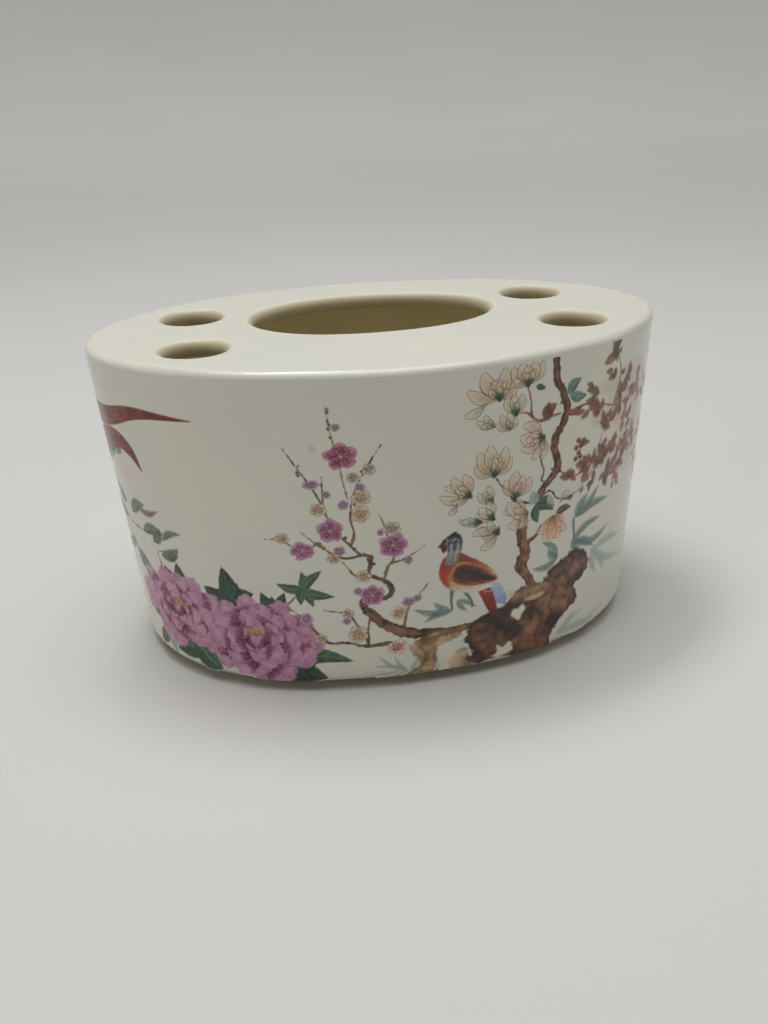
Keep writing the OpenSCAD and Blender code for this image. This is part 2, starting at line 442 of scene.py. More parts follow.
def petal(c, base, angle, length, width, fill=PEACH, bend=0.12, seed=0):
    """A petal with a thin wash, a fine dark outline and inner lines, that leaves a point at an angle."""
    base = np.array(base, float)
    tip = base + turned(length, angle)
    points = [base, (base + tip) / 2 + turned(length * bend, angle + 90), tip]
    widths = width * PETAL
    near, far = [np.array(f, float) for f in fill]

    def wash(along, across, s, z):
        shade = along * 1.1 + 0.4 * (grain(s, z, 0.8, seed) - 0.5) - 0.3 * (1 - abs(across))
        return ramp(shade, [near * 0.93, (near + far) / 2, far])

    c.stroke(points, widths, wash, 0.5, 0.78, thick=0.6)
    path = smooth(points)
    step = np.gradient(path, axis=0)
    normal = np.stack([-step[:, 1], step[:, 0]], 1) / np.maximum(np.linalg.norm(step, axis=1), 1e-6)[:, None]
    places = np.linspace(0, 1, len(path))
    half = normal * (np.interp(places, np.linspace(0, 1, len(widths)), widths) / 2)[:, None]
    for side in (-1, 1):
        c.stroke((path + side * half)[::3], [0.14, 0.18, 0.14], PETAL_LINE, 0.18, 0.8, per=4)
    for side in (-0.49, -0.16, 0.16, 0.49):
        inner = (path + side * half)[len(path) // 8:int(len(path) * 0.85)]
        c.stroke(inner[::4], [0.1, 0.04], near * 0.62, 0.2, 0.5, per=4)


def magnolia(c, base, petals, fill=PEACH, calyx=True, seed=0):
    """An outlined flower. Petals are [angle, length, width, bend], back ones first."""
    for k, (angle, length, width, bend) in enumerate(petals):
        petal(c, base, angle, length * 1.06, width * 0.92, fill, bend * 1.2, seed + k)
    for k, (angle, length, width, bend) in enumerate(petals[1:]):
        petal(c, base, angle + 9 * (-1) ** k, length * 0.66, width * 0.5, fill, -bend, seed + k)
    if calyx:
        for k, swing in enumerate((-38, 0, 38)):
            leaf(c, base, np.array(base) + turned(2.1, petals[-1][0] + swing), 1.0, GREEN, veins=0.4,
                 seed=seed + k)
        c.dot(base, 1.2, GREEN[0], 0.5)


def peony(c, centre, size, squash, heart, seed=0):
    """A full double flower of one radius: rings of ruffled, streaked petals round yellow stamens."""
    rng = np.random.default_rng(seed)
    centre, flat = np.array(centre, float), np.array([1, squash])
    deep, mid, light, rim = PEONY

    def ruffled(base, angle, length, width, tone):
        here = int(rng.integers(10_000))
        step = turned(length, angle) * flat
        wave = rng.uniform(-1, 1)

        def colour(along, across, s, z):
            streak = 0.16 * np.cos(across * 17 + wave * 3 + 2.5 * grain(s, z, 1.5, here))
            shade = 1.5 * along - 0.5 + tone + streak + 0.35 * (grain(s, z, 1.1, here) - 0.5)
            edge = np.clip(np.maximum(abs(across), along) * 6 - 5, 0, 1)
            edge = edge * (0.3 + 0.7 * grain(s, z, 1.6, here + 1))
            return blend(ramp(shade, [deep, deep, mid, mid, light]), rim, edge)

        middle = base + step * 0.5 + turned(length * 0.1 * wave, angle + 90)
        c.stroke([base, middle, base + step], width * np.array([0.3, 0.6, 0.88, 1.0, 0.98, 0.8]), colour, 0.5,
                 rough=0.4, seed=here, thick=1.0)

    c.stroke([centre - (size * 0.5, 0), centre + (size * 0.5, 0)], size, deep, 0.8)
    for count, near, length, width, tone in (
            (11, 0.46, 0.52, 0.52, -0.02), (9, 0.34, 0.46, 0.5, -0.06), (8, 0.22, 0.4, 0.44, -0.02),
            (7, 0.1, 0.32, 0.36, 0.04), (5, 0.04, 0.22, 0.26, 0.08)):
        for k in rng.permutation(count):
            angle = 360 * (k + rng.uniform(-0.25, 0.25)) / count
            base = centre + turned(size * near, angle) * flat
            ruffled(base, angle + rng.uniform(-16, 16), size * length * rng.uniform(0.85, 1.15),
                    size * width * rng.uniform(0.8, 1.2), tone + rng.uniform(-0.08, 0.1))
    middle = centre + np.array(heart) * size
    for _ in range(46):
        spot = middle + rng.normal(0, size * 0.1, 2) * flat
        tone = ramp(rng.random(1), STAMENS)[0]
        c.stroke([spot, spot + rng.normal(0, 0.5, 2)], rng.uniform(0.25, 0.5), tone, 0.3, 0.85, thick=1.3)
    for angle in (196, 222, 250, 276, 304, 334):
        ruffled(centre + turned(size * 0.24, angle) * flat, angle + 180 + rng.uniform(-20, 20), size * 0.2,
                size * 0.2, 0.1)


# ---- the decoration, group by group ----

def each(c, motif, rows, seed, step=1):
    """Paints one kind of motif again and again, with a new seed each time."""
    for k, row in enumerate(rows):
        motif(c, *row, seed=seed + step * k)


def paint_peony_leaves(c):
    each(c, leaf, (
        ((-62, 14), (-73, 6.5), 9, DEEP_GREEN, 0.05), ((-60, 13), (-71, 8.5), 7, GREEN, -0.12),
        ((-64, 12), (-56, 4.5), 8, GREEN, -0.1), ((-78, 11), (-82, 6), 4.5, GREEN, 0.1),
        ((-77, 10), (-74, 4.5), 3.5, PALE_TEAL, 0.1)), seed=1)
    twig(c, [(-37, 25), (-34, 27.5), (-30.8, 31)], [0.8, 0.5, 0.4], (GREEN[0], GREEN[1], GREEN[1]), seed=16)
    each(c, fan_of_leaves, (
        ((-51.5, 26), [[152, 8], [95, 10.5], [24, 8.5], [64, 7]], DEEP_GREEN, 5.6),
        ((-38.5, 24.5), [[122, 6.5], [62, 6.5], [95, 4.5]], DEEP_GREEN, 3.6),
        ((-30.5, 31), [[166, 7.2], [92, 5.4], [48, 7.6], [-14, 8.6], [-62, 5.6], [-98, 4.4]], GREEN, 2.9),
        ((-65.5, 28), [[104, 7], [40, 5], [160, 5]], DEEP_GREEN, 4)), seed=6, step=7)
    each(c, leaf, (
        ((-40, 7), (-24.5, 4.2), 7, DEEP_GREEN, 0.06), ((-36, 8), (-17.5, 9.3), 4.6, GREEN, 0.14),
        ((-38, 6), (-27, 11), 5, DEEP_GREEN, -0.1), ((-46, 7), (-38, 3.9), 5, WINE, 0.1),
        ((-66, 27), (-72.5, 32.5), 4.6, DEEP_GREEN, 0.1)), seed=30)


def paint_left_foliage(c):
    each(c, twig, (
        ([(-93, 47), (-86, 42), (-80, 41), (-73, 41)], [0.7, 0.5, 0.3], SAGE),
        ([(-93, 47), (-87, 36), (-80, 30), (-76, 27)], [0.7, 0.6, 0.5], SAGE),
        ([(-76, 27), (-73.5, 32), (-74, 36), (-70.5, 37)], [0.6, 0.5, 0.3], RUSSET)), seed=40)
    for k, (base, tip, width, greens) in enumerate((
            ((-83.5, 45), (-76, 49.2), 3.8, SAGE), ((-79, 47.3), (-70.5, 48.6), 2.0, RUSSET),
            ((-79, 41), (-70, 42), 3.4, SAGE), ((-75, 38.8), (-71.5, 43.5), 3.2, SAGE),
            ((-71, 40.3), (-64, 43.5), 2.2, SAGE), ((-72.5, 35.5), (-65.5, 39), 3.6, SAGE),
            ((-70, 35), (-66, 36.5), 3.2, SAGE), ((-85.5, 33.5), (-77.5, 28.5), 4.8, SAGE),
            ((-86, 47), (-92, 52), 3.4, SAGE), ((-88, 42), (-97, 43), 3.6, SAGE),
            ((-86, 36), (-95, 33), 3.6, SAGE))):
        leaf(c, base, tip, width, greens, 0.12 * (-1) ** k, soft=0.8, strength=0.9, seed=50 + k)


def paint_left_peony(c):
    peony(c, (-70, 20.4), 14.4, 0.64, heart=(0.12, 0.1), seed=5)


def paint_right_peony(c):
    peony(c, (-44, 15.8), 15.8, 0.68, heart=(-0.03, 0.12), seed=8)


def paint_pheasant(c):
    """A long-tailed bird that perches round the left end, tail towards the front."""
    red, rust, dark = (150, 52, 34), (190, 98, 70), (76, 30, 26)
    grey, green, legs = (120, 132, 116), (84, 104, 86), (112, 92, 74)

    def plume(along, across, s, z):
        streak = np.clip(np.cos(across * 13 + 2.5 * grain(s, z, 5, 3) + along * 3) * 2.2 - 1.15, 0, 1)
        body = blend(ramp(0.35 + 0.5 * grain(s, z, 2.0, 4) - 0.3 * along, [dark, red, rust]), dark,
                     0.75 * streak)
        return blend(body, grey, np.clip((-86 - s) / 12, 0, 0.6))

    def down(along, across, s, z):
        bars = 0.22 * np.cos(along * 70 + 3 * abs(across))
        shade = 0.5 - 0.35 * across + bars + 0.4 * (grain(s, z, 1.6, 7) - 0.5)
        return ramp(shade, [green, grey, (176, 182, 166)])

    def breast(along, across, s, z):
        scale = 0.25 * np.cos(along * 60) * np.cos(across * 9)
        return ramp(0.5 + 0.4 * across + scale, [(120, 40, 32), (184, 84, 52), (222, 150, 92)])

    def hood(along, across, s, z):
        line = np.clip(np.cos(across * 14) * 2 - 1, 0, 1) * 0.5
        return ramp(0.55 + 0.3 * across - line, [(60, 44, 40), (196, 140, 62), (232, 190, 104)])

    c.stroke([(-128, 50), (-114, 57), (-100, 61), (-84, 64)], [4, 16, 15, 10, 5], down, 0.6, rough=0.4,
             seed=8)
    c.stroke([(-96, 62), (-84, 66), (-77.5, 64), (-73.6, 59)], [7, 7.5, 5.5, 3.6, 0.3], plume, 0.4)
    c.stroke([(-122, 60), (-104, 69), (-86, 71.7), (-72, 75), (-55.5, 75.2)], [3, 7, 7, 6, 4.6, 2.2, 0.3],
             plume, 0.4)
    c.stroke([(-90, 56), (-83, 57), (-77, 56.5)], [5, 6, 3], (232, 206, 200), 3.5, 0.55, thick=0.2)
    c.stroke([(-121, 58), (-130, 52), (-134, 44), (-131, 38)], [11, 14, 11, 5], breast, 0.5, rough=0.3,
             seed=11)
    c.stroke([(-133, 52), (-138, 60), (-139, 66)], [8, 5.5, 5], (186, 96, 50), 0.5, rough=0.3, seed=12)
    c.stroke([(-134, 62), (-137, 66), (-140, 68.5)], [6, 6.5, 4.6], hood, 0.4)
    c.fill([(-142.4, 69.4), (-146.5, 67.2), (-142.2, 66.6)], (92, 84, 70))
    c.dot((-140.3, 68.6), 1.5, (236, 214, 150), 0.2)
    c.dot((-140.4, 68.6), 0.8, (34, 28, 26), 0.2)
    c.stroke([(-138, 70.6), (-133, 72.6), (-128, 71)], [1.4, 2.2, 0.5], (196, 132, 48), 0.4, rough=0.2)
    for x in (-126, -121):
        c.stroke([(x, 46), (x - 0.8, 38)], [1.2, 0.8], legs)
        c.stroke([(x - 3.4, 36.4), (x - 0.8, 38), (x + 2, 36.6)], 0.7, legs)
    twig(c, [(-148, 33), (-134, 36.5), (-118, 35.4), (-104, 32)], [2.0, 2.6, 2.2, 0.8], rough=0.3, seed=14)
    spray(c, [(-104, 32.2), (-100, 34), (-96.5, 37)], 4, GREEN, 4, seed=15)


def paint_plum_branch(c):
    each(c, twig, (
        ([(-8, 14), (-14, 13.6), (-19, 15), (-24, 15.2), (-27, 18), (-30.5, 22.4), (-35, 26)],
         [1.3, 1.0, 0.8, 0.7, 0.6, 0.5, 0.3]),
        ([(-13.6, 14), (-13.8, 18), (-13.2, 22)], [0.9, 0.7, 0.5]),
        ([(-14, 15), (-16.5, 20), (-19, 23.6), (-25, 25)], [0.6, 0.5, 0.4, 0.25], FAWN),
        ([(-4.6, 17), (-4.2, 21), (-3, 25), (-0.5, 28), (1.8, 31.2)], [0.9, 0.6, 0.5, 0.3, 0.2], FAWN),
        ([(12, 16), (5, 15.4), (-1, 15.8), (-6, 17.5), (-10.5, 20.8), (-14, 24.4), (-15.2, 27)],
         [2.0, 2.2, 3.0, 3.2, 2.8, 2.6, 2.0], BROWN, 0.3),
        ([(-15.2, 26), (-13, 27.6), (-9.5, 27.6), (-7.6, 29.2), (-8.4, 31.6), (-11, 33.6), (-13.4, 35),
          (-12.8, 38), (-13, 40), (-15.6, 40.8), (-18, 43.2), (-20.4, 46)],
         [1.4, 1.2, 1.5, 1.6, 1.3, 1.1, 1.2, 1.0, 0.8, 0.7, 0.6, 0.5], BROWN, 0.25),
        ([(-9.6, 33.2), (-8.6, 36.5), (-7.2, 38.5), (-7, 41)], [0.9, 0.7, 0.6, 0.5]),
        ([(-7.6, 37.6), (-4, 38.6), (0.8, 41.6)], [0.5, 0.4, 0.2], FAWN),
        ([(-22.5, 49), (-24.2, 53), (-24.6, 57), (-24.6, 62)], [0.5, 0.45, 0.35, 0.2]),
        ([(-24.4, 54), (-27.3, 59.6), (-30.8, 65), (-33.8, 69.6)], [0.5, 0.45, 0.4, 0.25]),
        ([(-17.8, 43), (-17, 46.5), (-17.8, 50), (-17.6, 54), (-16.6, 58.4), (-15.4, 61), (-13.2, 65),
          (-10, 70)], [0.6, 0.55, 0.5, 0.45, 0.4, 0.35, 0.3, 0.2], BROWN, 0.2),
        ([(-18.4, 56), (-19.6, 61), (-20.4, 66), (-21.8, 71), (-22.6, 75.4), (-23.3, 80)],
         [0.4, 0.4, 0.4, 0.4, 0.35, 0.2], MOSS),
        ([(-14.6, 40.6), (-19.6, 39.8), (-24, 42.2), (-27.4, 44.8), (-30.5, 47.6)],
         [0.8, 0.6, 0.5, 0.4, 0.2]),
        ([(-27.6, 42), (-32.5, 43.4), (-35.5, 45.2), (-39.6, 45.2)], [0.4, 0.4, 0.35, 0.15], FAWN),
        ([(-13.4, 35.6), (-16.6, 34.6), (-20, 38.8)], [0.6, 0.4, 0.2]),
        ([(-8.8, 45.4), (-9.6, 48.6), (-10.8, 51.4)], [0.4, 0.35, 0.15], FAWN)), seed=60)
    each(c, knots, (
        ([(-20.4, 46), (-15.6, 40.8), (-12.8, 38), (-13.4, 35), (-8.4, 31.6)], 1.0, 12),
        ([(-4, 16.6), (-10.5, 20.8), (-15.2, 27)], 1.3, 9)), seed=76)
    each(c, buds, (
        ([(-22, 72), (-23.3, 80)], 0.8, 6, (96, 98, 62)),
        ([(-24.4, 53), (-24.6, 61)], 0.5, 7, (86, 78, 62)),
        ([(-17.8, 50), (-15.4, 61), (-13.2, 65)], 0.7, 13, (110, 74, 62)),
        ([(-25, 42.6), (-27.4, 44.8)], 0.9, 5, (120, 108, 56)),
        ([(-31, 65), (-29, 62)], 0.8, 3, (110, 100, 90))), seed=78)


def paint_plum_blossoms(c):
    each(c, plum, (
        ((-19.9, 67.2), 4.0, 0.8, ROSE), ((-22.9, 47.6), 3.3, 0.95), ((-30, 42.2), 3.2, 0.72),
        ((-7.2, 42.6), 3.7, 0.9), ((-12.6, 28.8), 3.2, 0.9)), seed=90)
    for k, (place, size, squash) in enumerate((
            ((-20.8, 41.8), 1.6, 0.9), ((-27.3, 60), 2.1, 0.6), ((-15.4, 58.8), 1.3, 1),
            ((-19.6, 54.5), 1.4, 0.9), ((-3.4, 38), 1.2, 1), ((-21, 74.6), 1.1, 0.9),
            ((-23.6, 57.4), 1.1, 0.9), ((-3.4, 25.8), 1.7, 0.8), ((-1.2, 26.6), 1.1, 1),
            ((-19.2, 21.5), 1.3, 0.8), ((-29.8, 22.6), 1.7, 1), ((-10.4, 46.4), 0.9, 1),
            ((-16.2, 30.2), 1.2, 1))):
        plum(c, place, size, squash, MAUVE, (128, 96, 108), seed=100 + k)
    each(c, sketched, (
        ((-25.7, 53.4), 2.0, 0.85), ((-15.2, 56.2), 2.4, 0.9), ((-15.3, 51.8), 2.3, 1.0),
        ((-35.2, 45.6), 1.8, 0.8), ((-22.3, 39.8), 1.8, 0.75), ((-13.2, 63.6), 1.7, 0.9, SMOKE),
        ((-17.2, 61.6), 1.5, 0.9, SMOKE), ((-14.7, 34.4), 1.9, 0.9), ((-16.2, 17.4), 2.6, 0.95),
        ((-18.9, 23.8), 1.5, 0.9, SMOKE), ((-5.8, 22.8), 1.9, 1.0), ((-7.6, 47.2), 2.4, 0.75, SMOKE),
        ((-26.2, 16.6), 1.7, 0.8), ((-6.2, 12.6), 2.5, 0.85, SHELL)), seed=120)
    c.dot((-26.8, 69.4), 2.0, (198, 196, 148), 1.2, 0.6)


def paint_bamboo(c):
    each(c, blades, (
        ((-3.5, 4.6), [(-11.6, 10.6), (-12.2, 7), (-11.4, 3.6), (-0.6, 9.8), (-7, 9.4)], 1.0, PALE_TEAL),
        ((7.2, 21.2), [(-2.6, 23.4), (0.2, 18.8), (2.6, 24.6)], 2.0, TEAL, 0.1),
        ((8.8, 24.2), [(14, 21.4), (11.5, 20.4)], 1.5, TEAL),
        ((39.5, 29.8), [(30.6, 28.8), (33.8, 36), (36, 33.4)], 2.2, TEAL, 0.14),
        ((45.4, 40.2), [(60, 42), (55, 47), (50.5, 46)], 2.6, TEAL, 0.07, 0.8),
        ((44.5, 33), [(62, 33.4), (57, 37.2), (50, 28.6), (54.6, 28.6)], 2.4, TEAL, -0.12, 0.8),
        ((53.5, 28), [(70, 27), (71, 20.4), (60.5, 19.4), (56, 20)], 2.6, PALE_TEAL, 0.08, 1.2, 0.68),
        ((40, 6), [(52, 10.6), (62, 8.4), (56, 5), (47, 11.8)], 1.9, PALE_TEAL, 0.07, 1.4, 0.5)),
         seed=140, step=6)
    stem = (TEAL[0], TEAL[1], TEAL[1])
    each(c, twig, (
        ([(46.2, 27), (45.6, 33), (45, 39.6)], 0.9, stem),
        ([(46.2, 27), (45.6, 33), (47.4, 33)], 0.8, stem)), seed=188)


def paint_rock(c):
    """A pierced dark root beside a pale sandy one."""
    tan = [(106, 79, 51), (152, 119, 82), (202, 183, 144)]
    bark = [(46, 33, 30), (80, 56, 44), (124, 88, 66), (166, 124, 96), (200, 164, 134)]
    paper = (232, 226, 206)

    def sandy(depth, _, s, z):
        shade = 0.25 + 0.9 * grain(s, z, 2.6, 31) + 0.35 * (grain(s, z, 0.8, 32) - 0.5)
        return ramp(shade - 0.4 * np.exp(-depth / 0.6), tan)

    def woody(depth, _, s, z):
        folds = grain(s + 1.2 * z, z, 5.4, 33) - 0.5
        rings = abs(np.sin(6.4 * grain(s, z, 7, 36) + 0.16 * s)) - 0.6
        shade = 0.34 + 0.6 * folds + 0.2 * rings + 0.24 * (grain(s, z, 1.3, 34) - 0.5)
        return ramp(shade - 0.4 * np.exp(-depth / 1.2), bark)

    c.fill([(11, 16.6), (6, 16), (1, 15.2), (-2.4, 13), (-2.6, 9.5), (-0.6, 7), (-2.6, 4.4), (-6.4, 3),
            (1, 2.8), (3, 6), (2.6, 9), (5, 12), (9, 13)], sandy, 0.6, rough=0.5, seed=35)
    c.fill([(11, 9), (8.6, 9), (6.4, 6.4), (6.2, 3.6), (9, 2.8), (12, 3)], sandy, 0.8, rough=0.5, seed=36)
    c.stroke([(4, 12), (6.4, 8.4), (5.2, 3.4)], [1.6, 2.6, 2.2], (236, 226, 200), 1.4, 0.55, thick=0.3)
    for line in ([(10, 15), (5, 14.6), (0, 13.4)], [(-1, 12), (0.6, 9), (-0.4, 6), (-3.4, 3.6)]):
        c.stroke(line, [0.5, 1.1, 0.5], (104, 74, 46), 0.8, 0.6)
    c.fill([(13, 17), (11, 14.4), (10.8, 11), (12.4, 8), (10.8, 5), (14, 3.4), (20, 3), (30, 2.8),
            (36.4, 3.2), (38, 6.4), (40.4, 9.4), (44, 12.4), (47.4, 14), (47.6, 17.4), (46.6, 19.6),
            (50.4, 21.4), (52, 25), (50.6, 28.4), (47, 30.4), (43.6, 30), (40, 28.2), (36.8, 27),
            (35.6, 24.6), (32, 24), (27, 24), (23.6, 21.4), (19.4, 19), (16, 18.4)], woody, 0.7, rough=0.6,
           seed=37)
    for line, width, tone in (
            ([(24, 22.8), (31, 22.4), (37, 23.4)], [1.2, 2.0, 1.4], (202, 164, 124)),
            ([(26, 8), (32, 11), (36, 15), (38, 19)], [2.4, 4.4, 3.4, 2], (186, 126, 92)),
            ([(43, 23), (47, 25.4)], [2.2, 2.8], (176, 128, 104)),
            ([(27, 5.4), (34, 5)], [2, 2.6], (152, 92, 80)),
            ([(42, 15), (44.6, 18)], [1.8, 2.2], (156, 106, 74)),
            ([(16, 12.4), (20, 10.6)], [1.6, 2.4], (126, 88, 66))):
        c.stroke(line, width, tone, 2.4, 0.7, rough=0.8, seed=38, thick=0.8)
    for line in (
            [(35, 25), (39, 21), (37, 15.6), (40.4, 11)], [(40.6, 27.4), (44, 22), (42.6, 17)],
            [(24, 15), (27, 11), (26, 5)], [(13.6, 14), (18, 12.6), (20, 8.6)],
            [(31, 17.6), (34.4, 13), (32, 8), (33, 3.6)], [(22, 20), (29, 18.6), (36, 20)],
            [(12.4, 9), (15, 6.4), (14, 3.8)], [(44, 29), (48, 26.6), (50, 23)]):
        c.stroke(line, [0.6, 1.7, 0.9, 0.5], (50, 34, 30), 1.4, 0.55, rough=0.4, seed=39, thick=1.0)
    for outline in (
            [(24.2, 16.6), (24.8, 18), (26.4, 18.2), (28, 19), (28.6, 17.2), (27.4, 16), (26.8, 14.6),
             (25.4, 14.8)],
            [(17.6, 4.8), (19.4, 5.8), (19.8, 8), (21.6, 7), (23.4, 8.4), (24.6, 6), (22.4, 4.6), (20, 4)]):
        c.fill(outline, paper, 0.7, rough=0.3, thick=0.1, seed=41)
    c.fill([(28.4, 20), (31, 20.9), (35, 21), (34, 19.8), (31, 19.4)], (206, 176, 136), 0.6)
    c.fill([(14, 3.2), (18, 4.2), (24, 3.6), (22, 2.6), (16, 2.4)], paper, 0.6, 0.8, thick=0.1)


def paint_bird(c):
    """A small perched bird of no one kind, facing left."""
    def banded(tones, low, span, size):
        return lambda depth, _, s, z: ramp((z - low) / span + 0.4 * (grain(s, z, size, 2) - 0.5), tones)

    def plumage(depth, _, s, z):
        height = (z - 26 - 0.15 * (s - 12)) / 10 + 0.25 * (grain(s, z, 0.9, 3) - 0.5)
        return ramp(height, [(224, 212, 194), (214, 188, 156), (194, 126, 84), (170, 92, 60), (136, 70, 48)])

    def wing(depth, _, s, z):
        barbs = 0.16 * np.cos((s * 0.5 + z * 1.1) * 4.2)
        shade = depth / 1.5 + barbs + 0.3 * (grain(s, z, 0.8, 5) - 0.5)
        return ramp(shade, [(184, 112, 72), (124, 76, 50), (78, 50, 40)])

    def head(along, across, s, z):
        streaks = 0.3 * np.cos(across * 8 + grain(s, z, 1.5, 7) * 3)
        return ramp(0.45 + streaks + 0.3 * (grain(s, z, 0.6, 8) - 0.5),
                    [(74, 76, 84), (128, 130, 138), (190, 192, 192)])

    for path in ([(7.6, 28), (7.2, 24.4), (7.4, 21.6)], [(10.6, 27), (12.6, 23.6), (12.8, 21.6)]):
        c.stroke(path, [1.3, 0.8, 0.6], (96, 122, 106))
    c.fill([(17.6, 27.8), (20.6, 27.4), (22.4, 24), (22.8, 21.4), (20.6, 20.8), (18.6, 22.4), (17.6, 25)],
           banded([(128, 148, 182), (186, 202, 224)], 18, 10, 0.7))
    c.fill([(14.6, 26.4), (18, 26.2), (19.2, 23), (20.2, 18.4), (20, 16.6), (18.6, 17.4), (16.8, 20.4),
            (15.6, 23.4)], banded([(96, 40, 36), (164, 52, 38)], 17, 9, 0.8))
    c.fill([(6.2, 37.6), (9.6, 38.4), (13, 36.2), (17, 33.4), (20, 30), (20, 27.8), (16, 26), (11, 26),
            (7.4, 27.4), (5, 30), (4.3, 33), (4.8, 35.6)], plumage, 0.4, rough=0.15, seed=4)
    c.stroke([(5.6, 35), (5.1, 32), (6.4, 29.2)], [1.6, 1.8, 1.2], (184, 52, 36), 0.8, 0.8)
    c.fill([(7, 32.4), (8.6, 35), (11.6, 35.2), (15.4, 33.2), (18.4, 30.8), (20.2, 28.6), (17, 27.8),
            (12, 28), (8.4, 29.4)], wing, 0.35)
    for k in range(5):
        c.stroke([(9.4 + k, 33.6 - 0.9 * k), (14 + 0.9 * k, 31.6 - 0.75 * k), (19.4, 28.9 - 0.1 * k)],
                 [0.22, 0.3, 0.2], (38, 24, 22), 0.25, 0.6)
    c.stroke([(7.4, 31.8), (9, 34.6), (12, 34.8)], [0.4, 0.7, 0.4], (222, 140, 84), 0.4, 0.8)
    c.stroke([(15.4, 26.6), (18.6, 26.7)], 0.5, (240, 232, 222), 0.3, 0.8)
    c.stroke([(16.2, 25.4), (18.8, 25.2)], 0.3, (240, 226, 214), 0.3, 0.7)
    c.stroke([(8.5, 41.4), (8.1, 38.4), (7.6, 36)], [4.4, 4.2, 3.2, 2.4], head, 0.35, rough=0.15, seed=9)
    for k in range(7):
        x = 6.5 + 0.52 * k
        c.stroke([(x, 38.6), (x - 0.5, 35 + 0.5 * (k % 2))], [0.3, 0.12], (214, 212, 206), 0.25, 0.7)
        c.stroke([(x + 0.26, 38.4), (x - 0.2, 35.6)], 0.13, (60, 56, 60), 0.2, 0.6)
    c.stroke([(6.7, 42.8), (8.5, 43.5), (10.3, 42.3)], [0.9, 1.5, 0.8], (40, 40, 46), 0.5, rough=0.25,
             seed=10)
    for k in range(4):
        c.dot((7.4 + 0.9 * k, 41.6 - 0.4 * (k % 2)), 0.9, (50, 52, 58), 0.5, 0.7)
    c.stroke([(10.3, 41.4), (10.3, 38.8)], [0.6, 0.3], (84, 84, 92), 0.4, 0.7)
    c.fill([(6.1, 42.8), (5.1, 41.8), (4.9, 40), (5.6, 38.6), (6.4, 39.8), (6.5, 41.8)],
           lambda depth, _, s, z: ramp(depth / 0.8, [(70, 22, 26), (116, 36, 36)]))
    c.fill([(5.1, 41.4), (4.1, 40.6), (5.1, 40.3)], (60, 50, 46), 0.25)
    c.dot((6.3, 41.2), 0.7, (206, 196, 172), 0.25)
    c.dot((6.3, 41.2), 0.42, (24, 20, 20), 0.2)


def paint_magnolia_trunk(c):
    each(c, twig, (
        ([(37.4, 86), (37.6, 83.5), (38, 79.5), (40, 76), (41.2, 72), (40.4, 68.4), (38.2, 65), (37.6, 61.4),
          (38.8, 58.2), (38.4, 55.4), (35.6, 52.8), (33.4, 50.4), (32.6, 48)],
         [2.0, 2.2, 2.3, 2.1, 2.3, 2.2, 2.4, 2.6, 2.2, 2.5, 2.2, 2.0, 1.6], OLD_WOOD, 0.3),
        ([(28.6, 45.6), (27.6, 42), (27.8, 38), (28.6, 34.4), (27.4, 31), (28.6, 28), (30.8, 24.6)],
         [1.8, 3.4, 3.2, 3.6, 3.8, 3.0, 2.6], LIT_WOOD, 0.4)), seed=200)
    each(c, knots, (
        ([(37.2, 80), (40, 72), (37, 64), (37.8, 56), (33.4, 51)], 0.9, 12),
        ([(27, 42), (27.4, 34), (27.6, 28)], 1.2, 7)), seed=202)
    each(c, twig, (
        ([(29.6, 37.4), (31.6, 38.2), (33.6, 40.8)], [1.2, 1.0, 0.8], OLD_WOOD),
        ([(29.4, 79.6), (30.4, 75.6), (30.6, 72.2), (33, 70), (36, 70)], [0.5, 0.6, 0.5, 0.5, 0.5], OLIVE),
        ([(26, 73), (29, 73), (32, 70.4), (36, 70.6), (39, 70.8)], [0.4, 0.5, 0.5, 0.6, 0.7], RUSSET),
        ([(34.6, 65), (33.4, 60), (34.4, 56.4), (33.8, 53.8), (36, 52.6)], [0.4, 0.5, 0.5, 0.6, 0.7]),
        ([(33.6, 49.4), (36.6, 50.2), (38.8, 47.6), (42, 46.6), (45, 47.6)], [0.8, 0.6, 0.5, 0.4, 0.3]),
        ([(20.4, 57), (22, 54.6), (24.6, 52.6), (25, 50.4), (29, 48.6), (32.6, 47.8)],
         [0.5, 0.6, 0.6, 0.7, 0.7, 0.8])), seed=204)


def paint_magnolia_leaves(c):
    each(c, leaf, (
        ((41.4, 75.4), (45.6, 78.8), 3.2, TEAL, 0.12), ((42, 75.2), (47.8, 74), 3.0, TEAL, -0.1),
        ((41.2, 70.6), (45, 69), 2.0, RUSSET, 0.1), ((34.4, 70), (38, 73.6), 3.6, RUSSET, 0.16),
        ((35.4, 70.6), (35.6, 74.6), 2.2, OLIVE, 0.1), ((32.6, 47.8), (31, 51.4), 3.4, PALE_TEAL, 0.1),
        ((31.4, 47), (37.8, 44.6), 3.2, GREEN, 0.14), ((32.4, 47.4), (32.6, 42), 2.8, GREEN, -0.14),
        ((33, 47.6), (37.4, 47.8), 2.4, GREEN, 0.1), ((38.6, 43.2), (44, 43.8), 2.4, OLIVE, 0.1),
        ((31.6, 79.4), (34.4, 78.4), 1.8, GREEN)), seed=211)


